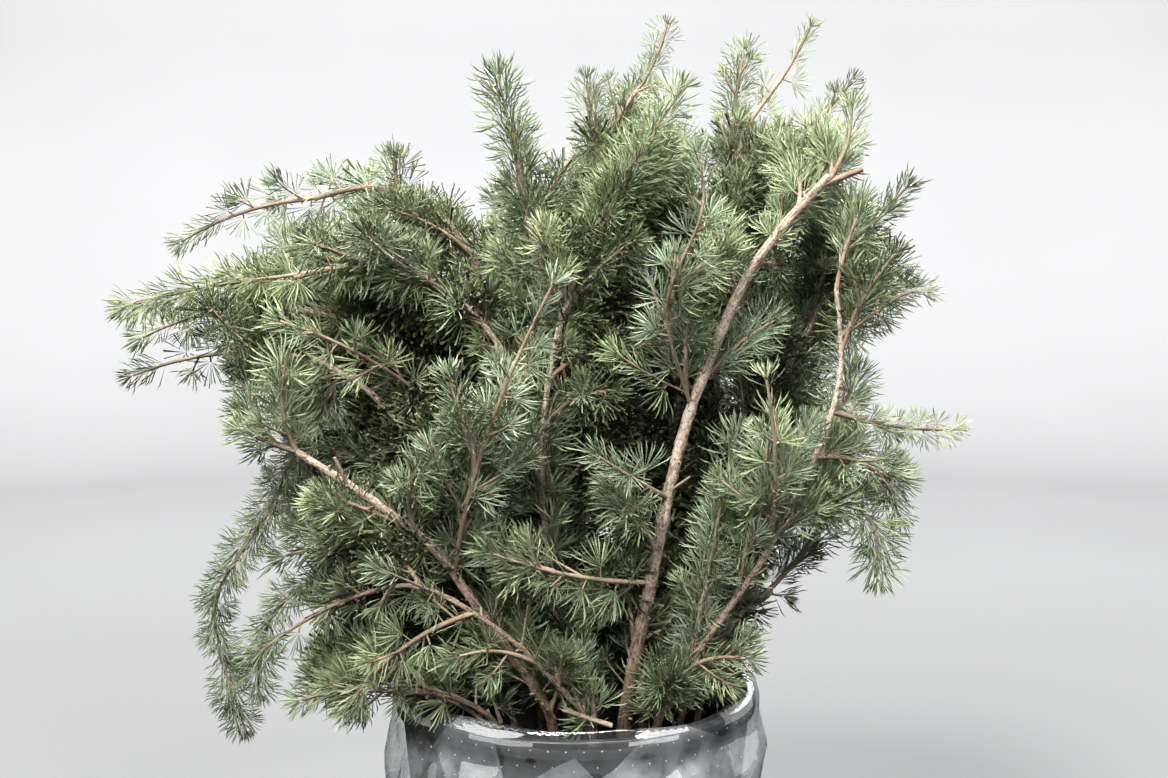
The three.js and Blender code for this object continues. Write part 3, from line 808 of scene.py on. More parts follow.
# a round limb with long ridges, low knots and a closed end
def barkTube(line, radii, draw):
    along, side, other = frames(line)
    sides, count = wood["sides"], len(line)
    turns = np.linspace(0, 2 * math.pi, sides, endpoint=False)
    reach = reachOf(line)
    swell = np.ones((count, sides))
    for _ in range(wood["waves"]):
        lobes, pitch = draw.integers(*wood["lobes"]), draw.uniform(*wood["pitch"])
        wave = lobes * turns[None, :] + reach[:, None] * pitch + draw.uniform(0, 6.3)
        swell += wood["ridges"] / 3 * np.sin(wave)
    swell += draw.normal(0, wood["rough"], (count, sides))
    radius = radii[:, None] * swell
    for _ in range(int(reach[-1] * wood["knots"])):
        place, turn = draw.uniform(0, reach[-1]), draw.uniform(0, 2 * math.pi)
        near = np.abs(reach - place) < 3 * wood["knotWidth"]
        arcs = (turns[None, :] - turn + math.pi) % (2 * math.pi) - math.pi
        away = ((reach[near, None] - place) ** 2 + (arcs * radii[near, None]) ** 2) / wood["knotWidth"] ** 2
        radius[near] += wood["knotHeight"] * draw.uniform(0.4, 1) * np.exp(-away)
    ring = side[:, None, :] * np.cos(turns)[None, :, None] + other[:, None, :] * np.sin(turns)[None, :, None]
    points = (line[:, None, :] + ring * radius[:, :, None]).reshape(-1, 3)
    points = np.vstack((points, line[0], line[-1] + along[-1] * radii[-1] * 0.5))
    faces, corners = [], []
    for k in range(count - 1):
        for i in range(sides):
            j = (i + 1) % sides
            faces.append((k * sides + i, k * sides + j, (k + 1) * sides + j, (k + 1) * sides + i))
            u, v = (i / sides, (i + 1) / sides), (reach[k] * mm, reach[k + 1] * mm)
            corners += [(u[0], v[0]), (u[1], v[0]), (u[1], v[1]), (u[0], v[1])]
    low, high = count * sides, count * sides + 1
    last = (count - 1) * sides
    for i in range(sides):
        j = (i + 1) % sides
        faces += [(j, i, low), (last + i, last + j, high)]
        corners += [(j / sides, 0), (i / sides, 0), (0, 0)]
        corners += [(i / sides, reach[-1] * mm), (j / sides, reach[-1] * mm), (0, reach[-1] * mm)]
    return points, faces, corners


def oldBark():
    material, tree, shader, where = newMaterial("oldBark", {"Roughness": 0.86, "Specular IOR Level": 0.2})
    surface = addNode(tree, "ShaderNodeUVMap", uv_map="surface").outputs[0]
    lengthwise = addNode(tree, "ShaderNodeMapping", {"Vector": surface, "Scale": (13, 95, 1)}).outputs[0]
    flake = addNoise(tree, where, 520, 5, 0.6)
    patch = addNoise(tree, where, 48, 3)
    fissure = addNoise(tree, lengthwise, 1, 4, 0.6)
    brown = addRamp(tree, flake, ((0.33, (0.15, 0.115, 0.092)), (0.43, (0.47, 0.405, 0.345)),
                                  (0.56, (0.64, 0.575, 0.505)), (0.72, (0.76, 0.705, 0.635))))
    dark = addRamp(tree, fissure, ((0.36, (0.40, 0.35, 0.32)), (0.50, (1, 1, 1))))
    cloud = addRamp(tree, patch, ((0.35, (0.78, 0.76, 0.75)), (0.65, (1.08, 1.05, 1.02))))
    # painted light: the bark is lighter towards the right of the bunch (+X) and darker towards the left
    paintedSideLight = addRamp(tree, addRange(tree, addAxis(tree, where, "X"), -0.22, 0.16), (
        (0.0, (0.74, 0.72, 0.70)), (1.0, (1.16, 1.16, 1.16))))
    # painted shade: the bark is darkest low in the bunch under the crown, full at mid height, and darker
    # again towards the top to hold down the lamplight there
    paintedHeightShade = addRamp(tree, addRange(tree, addAxis(tree, where, "Z"), 0.30, 0.70), (
        (0.0, (0.26, 0.21, 0.18)), (0.28, (0.64, 0.58, 0.54)),
        (0.58, (1.00, 0.97, 0.94)), (1.0, (0.60, 0.55, 0.50))))
    tree.links.new(multiply(tree, brown, dark, cloud, paintedSideLight, paintedHeightShade), shader.inputs["Base Color"])
    addBump(tree, shader, addMath(tree, "ADD", flake, fissure), 0.9, 0.0013)
    return material


axes = {name: stemAxis(name) for name in stems}
radiiOf = {name: stemRadii(name, *axes[name]) for name in stems}


def makeStems():
    draw = np.random.default_rng(wood["seed"])
    points, faces, corners = [], [], []
    for name in stems:
        limb, sides, uvs = barkTube(axes[name][0], radiiOf[name], draw)
        first = sum(len(p) for p in points)
        points.append(limb)
        faces += [tuple(first + v for v in face) for face in sides]
        corners += uvs
    return newPiece("stemBark", np.vstack(points) * mm, faces, oldBark(), corners=corners)


stemPiece = makeStems()
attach(stemPiece, "root")
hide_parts(*("stem_" + name for name in stems))
print("stems:", len(stems), "limbs,", len(stemPiece.data.polygons), "faces")


# Sprays

sprays = {  # the stem each grows on, how far along it, its tip, its bow, how wide it spreads, its green
    "main_top": ("main", 1, (206, -42, 772), (8, 0, 0), 52, "sage"),
    "main_high": ("main", 0.54, (84, -112, 735), (-18, -12, 0), 76, "blue"),
    "main_mid": ("main", 0.38, (8, -128, 512), (0, -6, 0), 70, "blue"),
    "main_low": ("main", 0.23, (-72, -128, 440), (0, -8, -5), 72, "mid"),
    "right_top": ("right", 1, (218, -72, 695), (-4, 0, 0), 56, "mid"),
    "right_high": ("right", 0.9, (277, -50, 606), (0, 0, 14), 52, "mid"),
    "right_mid": ("right", 0.74, (307, -25, 513), (5, 0, -6), 42, "sage"),
    "right_droop": ("right", 0.64, (252, -38, 434), (14, 0, 18), 48, "mid"),
    "right_low": ("right", 0.46, (224, -92, 396), (26, 0, 30), 42, "mid"),
    "right_inner": ("right", 0.42, (134, -126, 575), (6, -12, 0), 74, "sage"),
    "front_left": ("front_left", 1, (-262, -100, 532), (0, 0, -3), 48, "mid"),
    "front_low": ("front_left", 0.55, (-232, -75, 418), (0, 6, 8), 58, "deep"),
    "centre": ("front_left", 0.47, (-10, -124, 640), (-14, -14, -6), 82, "blue"),
    "low_centre": ("low_left", 0.3, (-92, -168, 366), (0, 0, 10), 62, "mid"),
    "low_left": ("low_left", 1, (-252, -62, 336), (0, 0, 12), 56, "mid"),
    "low_drop": ("low_left", 0.66, (-176, -112, 304), (-5, -6, 14), 56, "sage"),
    "rim_left": ("rim_left", 1, (-218, -96, 312), (0, 0, 6), 48, "sage"),
    "tail": ("left_mid", 0.78, (-265, 0, 249), (-70, 14, 30), 34, "mid"),
    "tail_short": ("left_mid", 0.5, (-256, -8, 283), (-25, 14, 25), 38, "mid"),
    "left_mid": ("left_mid", 1, (-358, -18, 548), (0, 0, 8), 54, "deep"),
    "left_bright": ("left_upper", 0.44, (-230, -90, 604), (0, -18, 14), 70, "sage"),
    "left_upper": ("left_upper", 1, (-363, 36, 572), (0, 0, 10), 72, "mid"),
    "left_top": ("left_top", 1, (-358, -38, 604), (0, 0, 4), 46, "fresh"),
    "arch": ("arch", 1, (-337, 62, 648), (0, 0, 10), 54, "mid"),
    "arch_crest": ("arch", 0.79, (-151, 60, 744), (0, 0, 0), 44, "mid"),
    "upright": ("upright", 1, (-62, -30, 796), (0, 0, 0), 46, "mid"),
    "top_mid": ("top_mid", 1, (86, -62, 782), (0, 0, 0), 46, "sage"),
    "top_back_left": ("top_back", 0.9, (8, 30, 798), (-2, 0, 0), 40, "mid"),
    "top_back": ("top_back", 1, (76, 52, 842), (6, 0, -4), 42, "mid"),
    "top_right": ("top_right", 1, (192, 42, 838), (4, 0, -3), 50, "sage"),
    "top_right_left": ("top_right", 0.86, (138, 50, 822), (-2, 0, 4), 46, "mid"),
    "top_right_out": ("top_right", 0.8, (226, 15, 793), (0, 0, -5), 50, "mid"),
    "behind_right": ("behind_right", 1, (268, 12, 708), (0, 0, 0), 92, "deep"),
    "low_right": ("low_right", 1, (196, -20, 418), (0, 0, 4), 54, "mid"),
    "rim_right": ("right", 0.12, (138, -126, 352), (0, -6, 10), 52, "mid"),
    "back_left": ("back_left", 1, (-275, 182, 580), (0, 0, 12), 84, "mid"),
    "rear_left": ("back_left", 0.17, (-200, 190, 440), (0, 0, 20), 70, "deep"),
    "back_mid": ("back_mid", 1, (-50, 198, 745), (0, 8, 0), 95, "mid"),
    "back_right": ("back_right", 1, (222, 185, 665), (0, 0, 8), 84, "sage"),
    "rear_right": ("back_right", 0.17, (190, 185, 470), (0, 0, 20), 70, "mid"),
}
growth = {
    "step": 7, "turn": 137.5, "turnJitter": 0.25, "lean": 50, "leanJitter": 12, "seed": 71,
    "shootRadius": (2.3, 1.05), "twigRadius": (1.15, 0.8), "spurRadius": 0.75, "leastLeft": 0.3, "tipCut": 13,
    "twigFirst": 14, "twigSpacing": 22, "twigJitter": (0.75, 1.2), "twigLast": 12, "twigShare": (0.72, 1.0),
    "twigShortest": 9, "twigLongest": 66, "twigSize": 0.95, "twigDroop": (-0.02, 0.14), "endWidth": 20,
    "tuftSpacing": 13.4, "tuftJitter": (0.8, 1.2), "tuftReach": 23, "tuftLean": 60, "tuftTilt": (0.1, 0.42),
    "brushSpacing": 8.8, "brushJitter": (0.85, 1.15), "brushSize": (0.85, 1.05), "rosetteSize": (0.86, 1.12),
    "spur": (3.0, 8.0), "lift": 0.22, "tipLength": 40, "leanRange": (-10, 14), "flat": (600, 0.15),
    "budFoot": 1.5, "budSize": (0.8, 1.25), "spurFoot": 1.15,
    "slim": 47, "slimLean": 42, "slimTilt": (-1.2, 1.5), "slimSpacing": 5.4,
    "young": ("fresh",), "leastDressed": 0.42, "sameGreen": 0.72,  # young growth has single needles
    "oldSpur": (4, 12), "oldSpacing": 13, "oldSize": (0.86, 1.1), "spursEnd": 760, "oldJitter": 0.4,
    "oldFirst": 6, "oldLast": 20, "oldTilt": (0.4, 0.9), "oldGap": (0.7, 1.3), "oldFoot": 1.3,
    "oldFront": -20, "peg": (2, 7), "pegSpacing": 36, "pegRadius": (1.5, 1.0), "pegGap": (0.6, 1.4),
    "smooth": ("main", "right", "front_left", "low_left", "rim_left", "left_mid"),  # no spurs in view
    "collarTwigs": (-34, 90), "collarSpacing": (8, 13), "collarClose": 22, "collarLength": (14, 44),
    "collarLean": (48, 76), "collarGap": (0.7, 1.3),
}
crown = {
    "outline": (  # across and up, on the plane of the bucket's axis, as the camera sees it
        (-90, 700), (-75, 750), (-45, 760), (-25, 715), (-5, 715), (5, 765), (35, 775), (60, 795), (85, 760),
        (105, 755), (125, 785), (145, 770), (175, 795), (200, 780), (235, 715), (260, 690), (275, 640),
        (280, 605), (260, 580), (225, 565), (235, 545), (260, 515), (265, 475), (260, 435), (235, 415),
        (200, 415), (148, 362), (135, 330), (128, 290), (-150, 280), (-235, 295), (-230, 330), (-205, 370),
        (-220, 405), (-255, 435), (-262, 475), (-268, 515), (-290, 545), (-296, 575), (-300, 610),
        (-285, 650), (-245, 680), (-190, 705), (-150, 725)),
    "centre": (-20, 15, 560), "half": (345, 180, 310), "spacing": 57, "reach": (24, 165), "spread": 46,
    "hollow": 0.55, "hollowShare": 0.35, "seed": 33,
    "usual": 95, "skirt": 150, "skirtReach": 38, "skirtRadius": (70, 142), "skirtHeight": (304, 372),
    "shown": {  # wood in view: how far off a spray and the filling keep in front of it, between what heights
        "main": (12, 15, 290, 720), "right": (8, 11, 338, 585), "front_left": (8, 11, 290, 520),
        "left_mid": (5, 9, 500, 600), "arch": (5, 9, 640, 800), "top_back": (5, 8, 690, 800),
        "top_right": (5, 8, 715, 800), "low_left": (5, 8, 314, 420), "behind_right": (4, 8, 520, 640),
        "left_upper": (4, 7, 560, 700), "rim_left": (4, 7, 300, 340)},
    "shownShoots": ("centre", "main_high", "main_low", "left_top", "left_bright", "upright", "top_mid",
                    "arch", "right_inner", "low_left"), "shownShare": 0.7, "shootRoom": (4.5, 8),
    "middle": 20, "rear": 50, "cell": 10, "thin": (9, 6), "thinReach": 15, "left": -70, "lowest": 45,
    "patchDepth": (-10, 90), "patches": 3, "least": 0.1, "ease": 0.3, "lit": (90, 620),
    "sideways": (80, 0.35), "downward": 60, "bow": 0.13, "dark": 0.62,  # what a shoot avoids
    "limbFrom": 16, "limbStep": 4, "shootShare": 0.6, "shootStep": 2,  # where shoots may start
    "inset": 6, "innerInset": 30,  # how far inside the outline the filling keeps
    "ground": 4, "mouthInset": 30, "mouthDepth": 36, "filmRoom": 6,  # how near the bucket it grows
    "fans": (  # short sprays over the rim: the stem each grows on, how far along it, its tip, its green; the deep and inner greens are painted shade low under the crown and deep inside
        ("right", 0, (72, -112, 338), "deep"), ("right", 0, (93, -104, 345), "blue"),
        ("right", 0.03, (113, -92, 352), "mid"), ("low_right", 0, (127, -74, 342), "deep"),
        ("low_right", 0, (113, -88, 326), "deep"), ("right", 0, (54, -117, 327), "deep"),
        ("right", 0, (86, -114, 322), "mid"), ("right", 0.02, (60, -106, 362), "deep"),
        ("front_left", 0, (-36, -118, 323), "deep"), ("front_left", 0.02, (2, -110, 356), "deep"),
        ("low_left", 0, (12, -124, 342), "mid"), ("rim_left", 0, (-70, -116, 336), "mid"),
        ("right", 0.14, (124, -74, 530), "blue"), ("right", 0.3, (141, -94, 494), "mid"),
        ("behind_right", 0.22, (106, 12, 528), "inner"), ("low_right", 0.5, (140, -8, 450), "inner"),
        ("behind_right", 0.4, (164, 8, 592), "inner")),
    "fanSpread": 42, "fanBow": (0, 0, 6),
    "paintedShadeLow": (300, 470, 0.55),  # painted shade: needles low in the bunch get darker between these heights, down to this share
    "stubs": (  # bare side branches that were cut short: foot, end, radii
        ((27, -110, 301), (-9, -116, 315), (2.3, 1.8)), ((186, -60, 701), (214, -60, 712), (2.8, 2.1)),
        ((-168, -100, 482), (-176, -106, 502), (1.8, 1.4)), ((70, -72, 470), (86, -78, 483), (1.4, 1.0))),
}
bends = {  # where a shoot turns on its way from the stem to its tip
    "tail": ((-228, -8, 480), (-245, 0, 441), (-284, 0, 388), (-295, 0, 358), (-287, 0, 322)),
    "tail_short": ((-200, -12, 398), (-246, -8, 362), (-256, -8, 320)),
    "right_low": ((178, -82, 462), (216, -76, 466), (231, -80, 438)),
    "right_high": ((222, -68, 604), (250, -58, 624), (268, -54, 628)),
    "main_high": ((68, -92, 590), (64, -104, 622), (82, -110, 655), (96, -112, 688)),
}
habits = {  # sprays with needles lower, smaller or closer together than the rest
    "arch": {"lift": -0.35, "size": 0.95, "gap": 0.7}, "arch_crest": {"gap": 0.8},
    "left_top": {"lift": -0.5, "gap": 0.9}, "left_mid": {"lift": -0.2, "gap": 1.1},
    "left_upper": {"lift": -0.3, "gap": 1.1}, "tail": {"lift": -0.1, "size": 0.82, "gap": 0.62},
    "tail_short": {"size": 0.85, "gap": 0.75}, "upright": {"size": 1.12}, "top_back": {"size": 0.66},
    "top_back_left": {"size": 0.8}, "top_right": {"size": 0.74}, "top_right_left": {"size": 0.8},
    "top_right_out": {"size": 0.8}, "right_mid": {"size": 0.62}, "right_high": {"size": 0.85},
}
greens = ("inner", "deep", "mid", "blue", "sage", "fresh")
tuftKinds = {  # first and last shape of each kind
    "rosette": (0, 6), "brush": (6, 9), "tip": (9, 12), "shaded": (12, 16), "inner": (16, 19)}

shootLines, twigLines, spurLines, budPlaces = [], [], [], []
tufts = {green: [] for green in greens}


def unit(vector):
    return vector / np.linalg.norm(vector)


def acrossFrom(along, turn):
    base = unit(np.cross(np.cross(along, up) + (0, 0.001, 0), along))
    return leaning(base, np.cross(along, base), turn)


def leaning(ahead, out, lean):
    return ahead * math.cos(lean) + out * math.sin(lean)


# gives the place and the direction at a distance along a line
def walk(line):
    reach, along = reachOf(line), np.gradient(line, axis=0)

    def at(place):
        return readAt(line, reach, place), unit(readAt(along, reach, place))

    return at, reach


# inside the bucket or through its film nothing grows, but the mouth is open
def blocked(point, room):
    r = math.hypot(point[0], point[1])
    if point[2] < crown["ground"] + room:
        return True
    if r < film["shoulder"] - crown["mouthInset"] - room * 0.5:
        return point[2] < film["top"] - crown["mouthDepth"]
    return point[2] < film["top"] + room * 0.5 and r < film["shoulder"] + crown["filmRoom"] + room


eyePlace = np.array(camera["place"]) / mm


# where the camera sees a point, on the plane of the bucket's axis
def seenAt(points):
    points = np.atleast_2d(points)
    share = -eyePlace[1] / (points[:, 1] - eyePlace[1])
    return eyePlace[[0, 2]] + (points[:, [0, 2]] - eyePlace[[0, 2]]) * share[:, None]


outline = np.array(crown["outline"], float)
outlineSides = np.roll(outline, -1, axis=0) - outline


def insideOutline(point, inset=0):
    gap = seenAt(point)[0] - outline
    rise = np.where(outlineSides[:, 1] == 0, 1e-9, outlineSides[:, 1])
    beside = gap[:, 0] < gap[:, 1] * outlineSides[:, 0] / rise
    crossed = (gap[:, 1] < 0) != (gap[:, 1] - outlineSides[:, 1] < 0)
    if np.count_nonzero(crossed & beside) % 2 == 0:
        return False
    share = np.clip((gap * outlineSides).sum(axis=1) / (outlineSides ** 2).sum(axis=1), 0, 1)
    return np.linalg.norm(gap - outlineSides * share[:, None], axis=1).min() >= inset


def sprayLine(name):
    stem, at, tip, bow = sprays[name][:4]
    own = bowedCurve(stemLine(stem)(at)[0], tip, bow)(np.linspace(0, 1, 20))
    if name in bends:
        own = soften(resample(np.array((own[0], *bends[name], tip), float), growth["step"]), 6)
    bare = stems[stem][-1]
    if at == 1 and bare < 1:  # a leader carries the stem's own line on
        lead = stemLine(stem)(np.linspace(bare, 1, 24))
        own = np.vstack((lead[:-1], own))
    return soften(resample(own, growth["step"]), 3)


def shownWood():
    found = []
    for name, (near, far, low, high) in crown["shown"].items():
        line = axes[name][0]
        found.append((line[(line[:, 2] > low) & (line[:, 2] < high)], (near, far)))
    for name in crown["shownShoots"]:
        line = sprayLine(name)
        found.append((line[:int(len(line) * crown["shownShare"])], crown["shootRoom"]))
    return [(seenAt(line), line[:, 1], rooms) for line, rooms in found]


woodInView = shownWood()


def hidesWood(point, shy):
    seen = seenAt(point)[0]
    for line, depth, rooms in woodInView:
        gaps = np.linalg.norm(line - seen, axis=1)
        nearest = gaps.argmin()
        if gaps[nearest] < rooms[shy] and point[1] < depth[nearest] - 1:
            return True
    return False


def addTuft(place, facing, kind, green, size, draw, shy):
    if blocked(place, 9):
        return False
    inset = crown["innerInset" if green == "inner" else "inset"]
    if hidesWood(place, shy) or (shy and not insideOutline(place, inset)):
        return False
    if green == "inner":
        kind = "inner"
    if kind == "rosette" and (green == "deep" or place[1] > crown["rear"]):
        kind = "shaded"
    first, last = tuftKinds[kind]
    # painted shade: the sunlit share of a tuft drops the lower it sits in the bunch
    low, high, least = crown["paintedShadeLow"]
    shade = draw.random() * min(1, least + (1 - least) * max(0, place[2] - low) / (high - low))
    tufts[green].append((place, facing, draw.uniform(0, 6.28), size, draw.randrange(first, last), shade))
    return True


# a spray turns its flat side to the front or to the back of the bunch
def flatFace(place, ahead):
    turned, tipped = growth["flat"]
    face = np.array((place[0] / turned, -1.0 if place[1] < crown["middle"] else 1.0, tipped))
    return unit(face - ahead * np.dot(face, ahead))


# short spurs with a rosette each, to both sides of the wood, and single needles towards its end
def dressWood(line, radii, green, draw, start, size, shy, slim=False, lift=None, gap=1.0):
    total = lengthOf(line)
    at, reach = walk(line)
    hand = draw.choice((-1, 1))
    place, placed, tried = start, 0, 0
    lift = growth["lift"] if lift is None else lift
    while place < total - 3:
        here, ahead = at(place)
        girth = float(np.interp(place, reach, radii))
        flat = flatFace(here, ahead)
        tilt = draw.uniform(*growth["slimTilt"]) if slim else draw.gauss(*growth["tuftTilt"])
        out = leaning(np.cross(ahead, flat) * hand, flat, tilt)
        lean = math.radians(growth["slimLean" if slim else "tuftLean"] + draw.uniform(*growth["leanRange"]))
        facing = unit(leaning(ahead, out, lean) + up * lift * (ahead[2] > -0.5))
        tried += 1
        if not slim and (total - place < growth["tipLength"] or green in growth["young"]):
            scale = size * draw.uniform(*growth["brushSize"])
            placed += addTuft(here, ahead, "brush", green, scale, draw, shy)
            place += growth["brushSpacing"] * gap * draw.uniform(*growth["brushJitter"])
        else:
            spur = draw.uniform(*growth["spur"]) * (0.5 if slim else 1)
            foot = here + out * girth * 0.5
            end = here + out * girth + unit(out + facing) * spur
            if addTuft(end, facing, "rosette", green, size * draw.uniform(*growth["rosetteSize"]), draw, shy):
                radius = growth["spurRadius"]
                spurLines.append((np.array((foot, end)), (radius * growth["spurFoot"], radius)))
                placed += 1
            spacing = growth["slimSpacing" if slim else "tuftSpacing"]
            place += spacing * gap * draw.uniform(*growth["tuftJitter"])
        hand = -hand
    ahead = at(reach[-1])[1]
    if addTuft(line[-1], ahead, "tip", green, size * draw.uniform(*growth["brushSize"]), draw, shy):
        budPlaces.append((line[-1] + ahead * growth["budFoot"], ahead, draw.uniform(*growth["budSize"])))
        placed += 1
    return placed / (tried + 1)


grown = (shootLines, twigLines, spurLines, budPlaces, *tufts.values())


# takes back what has grown since the lists were this long
def takeBack(lengths):
    for kept, length in zip(grown, lengths):
        del kept[length:]


def growTwig(start, direction, length, green, draw, size, shy, lift=None, gap=1.0):
    droop = np.array((0, 0, draw.uniform(*growth["twigDroop"]))) * length
    line = bowedCurve(start, start + direction * length + droop, -droop * 0.35)(np.linspace(0, 1, 4))
    if blocked(line[-1], 6) or (shy and not insideOutline(line[-1], crown["inset"])):
        return
    lengths = [len(kept) for kept in grown]
    radii = np.linspace(*growth["twigRadius"], len(line))
    twigLines.append((line, radii))
    dressed = dressWood(line, radii, green, draw, min(7, length * 0.4), size, shy, lift=lift, gap=gap)
    if dressed < growth["leastDressed"]:
        takeBack(lengths)


def neighbourGreen(green, draw):
    if green == "inner" or draw.random() < growth["sameGreen"]:
        return green
    return draw.choice([g for g in greens if g not in (green, "fresh", "inner")])


# a leading shoot, side twigs by the turning rule that narrow to the tip, and tufts on all of it
def growShoot(line, spread, green, draw, start=8, size=1.0, shy=False, lift=None, gap=1.0):
    line = resample(line, growth["step"])
    share = max(growth["leastLeft"], 1 - growth["tipCut"] / lengthOf(line))  # the last needles reach the tip
    line = soften(line[:max(3, int(len(line) * share))], 2)
    total = lengthOf(line)
    radii = np.linspace(*growth["shootRadius"], len(line))
    lengths = [len(kept) for kept in grown]
    shootLines.append((line, radii))
    dressed = dressWood(line, radii, green, draw, start, size, shy, spread < growth["slim"], lift, gap)
    if shy and dressed < growth["leastDressed"]:
        takeBack(lengths)
        return
    at = walk(line)[0]
    place, turn = growth["twigFirst"], draw.uniform(0, 6.28)
    while place < total - growth["twigLast"]:
        share = place / total
        width = spread + (growth["endWidth"] - spread) * share
        lean = math.radians(growth["lean"] + draw.uniform(-1, 1) * growth["leanJitter"])
        length = width * draw.uniform(*growth["twigShare"]) / math.sin(lean) - growth["tuftReach"]
        if length > growth["twigShortest"]:
            here, ahead = at(place)
            way = leaning(ahead, acrossFrom(ahead, turn), lean)
            growTwig(here, way, min(length, growth["twigLongest"]), neighbourGreen(green, draw), draw,
                     size * growth["twigSize"], shy, lift, gap)
        place += growth["twigSpacing"] * gap * draw.uniform(*growth["twigJitter"])
        turn += math.radians(growth["turn"]) + draw.uniform(-1, 1) * growth["turnJitter"]


def growSprays():
    for index, name in enumerate(sprays):
        draw = random.Random(growth["seed"] + index)
        growShoot(sprayLine(name), *sprays[name][4:], draw, **habits.get(name, {}))


# rosettes on short spurs up the old wood, below where it comes into view, and bare pegs where it shows
def growSpurs():
    for index, name in enumerate(stems):
        draw = random.Random(growth["seed"] + 200 + index)
        line, split = axes[name]
        at, reach = walk(line)
        clear = crown["shown"][name][2] if name in growth["smooth"] else growth["spursEnd"]
        place, turn = reach[split] - growth["oldFirst"], draw.uniform(0, 6.28)
        while place < reach[-1] - growth["oldLast"]:
            here, ahead = at(place)
            girth = float(np.interp(place, reach, radiiOf[name]))
            out = acrossFrom(ahead, turn)
            if here[2] < clear:
                facing = unit(out + ahead * draw.uniform(*growth["oldTilt"]) + up * growth["lift"])
                end = here + out * girth + facing * draw.uniform(*growth["oldSpur"])
                # painted shade: spurs behind the front get the darkest greens
                front = here[1] < growth["oldFront"]
                green = draw.choice(("deep", "mid", "blue") if front else ("inner", "deep"))
                if addTuft(end, facing, "rosette", green, draw.uniform(*growth["oldSize"]), draw, False):
                    radius = growth["spurRadius"]
                    spurLines.append((np.array((here, end)), (radius * growth["oldFoot"], radius)))
                place += growth["oldSpacing"] * draw.uniform(*growth["oldGap"])
            else:
                end = here + out * girth + unit(out + ahead) * draw.uniform(*growth["peg"])
                twigLines.append((np.array((here, end)), growth["pegRadius"]))
                place += growth["pegSpacing"] * draw.uniform(*growth["pegGap"])
            turn += math.radians(growth["turn"]) + draw.uniform(-growth["oldJitter"], growth["oldJitter"])


# short twigs round the foot of each stem, in and over the bucket's mouth
def growCollars():
    low, high = growth["collarTwigs"]
    for index, name in enumerate(stems):
        draw = random.Random(growth["seed"] + 100 + index)
        line, split = axes[name]
        at, reach = walk(line)
        place, turn = reach[split] + low, draw.uniform(0, 6.28)
        while place < reach[split] + high:
            here, ahead = at(place)
            lean = math.radians(draw.uniform(*growth["collarLean"]))
            way = leaning(ahead, acrossFrom(ahead, turn), lean)
            length = draw.uniform(*growth["collarLength"])
            # painted shade: mostly deep green low in the mouth, under the crown
            green = draw.choice(("deep", "deep", "mid", "blue"))
            growTwig(here, way, length, green, draw, growth["twigSize"], True)
            spacing = growth["collarSpacing"][place > reach[split] + growth["collarClose"]]
            place += spacing * draw.uniform(*growth["collarGap"])
            turn += math.radians(growth["turn"])


# where a shoot may start: on the stems, and on the lower part of each spray's own shoot
def limbPoints():
    parts = []
    for name in stems:
        line, split = axes[name]
        parts.append((line, slice(split - crown["limbFrom"], None, crown["limbStep"])))
    for name in sprays:
        line = sprayLine(name)
        parts.append((line, slice(0, int(len(line) * crown["shootShare"]), crown["shootStep"])))
    places = np.vstack([line[part] for line, part in parts])
    aheads = np.vstack([np.gradient(line, axis=0)[part] for line, part in parts])
    return places, aheads / np.linalg.norm(aheads, axis=1)[:, None]


# places in the crown that no spray fills: an even scatter inside the outline, and a skirt over the rim
def fillPlaces(draw):
    centre, half, gap = np.array(crown["centre"]), np.array(crown["half"]), crown["spacing"]
    found = []
    for cell in np.ndindex(*(int(2 * h / gap) + 1 for h in half)):
        place = centre - half + (np.array(cell) + [draw.random() for _ in range(3)]) * gap
        far = np.linalg.norm((place - centre) / half)
        if far > 1 or (far < crown["hollow"] and draw.random() > crown["hollowShare"]):
            continue
        if insideOutline(place, crown["inset"]) and not hidesWood(place, 1) and not blocked(place, 20):
            found.append((place, far, crown["usual"]))
    for k in range(crown["skirt"]):
        turn = 2 * math.pi * (k + draw.random()) / crown["skirt"]
        out = draw.uniform(*crown["skirtRadius"])
        place = np.array((out * math.cos(turn), out * math.sin(turn), draw.uniform(*crown["skirtHeight"])))
        if not hidesWood(place, 1):
            found.append((place, 0.8, crown["skirtReach"]))
    return found


# places where the camera would see through the crown
def thinPlaces(draw):
    seen = seenAt(np.array([tuft[0] for green in greens for tuft in tufts[green]]))
    found = []
    low, high = outline.min(axis=0), outline.max(axis=0)
    for x in np.arange(low[0], high[0], crown["cell"]):
        enough = crown["thin"][int(x > crown["left"])]
        for z in np.arange(low[1] + crown["lowest"], high[1], crown["cell"]):
            spot = np.array((x, 0.0, z))
            near = np.linalg.norm(seen - (x, z), axis=1) < crown["thinReach"]
            if not insideOutline(spot, crown["innerInset"]) or near.sum() >= enough:
                continue
            depth = draw.uniform(*crown["patchDepth"])
            place = eyePlace + (spot - eyePlace) * (depth - eyePlace[1]) / -eyePlace[1]
            # painted shade: patches outside the lit region get the darkest greens
            lit = x > crown["lit"][0] or z > crown["lit"][1]
            found.append((place, 0.7 if lit else 0.0, crown["usual"]))
    return found


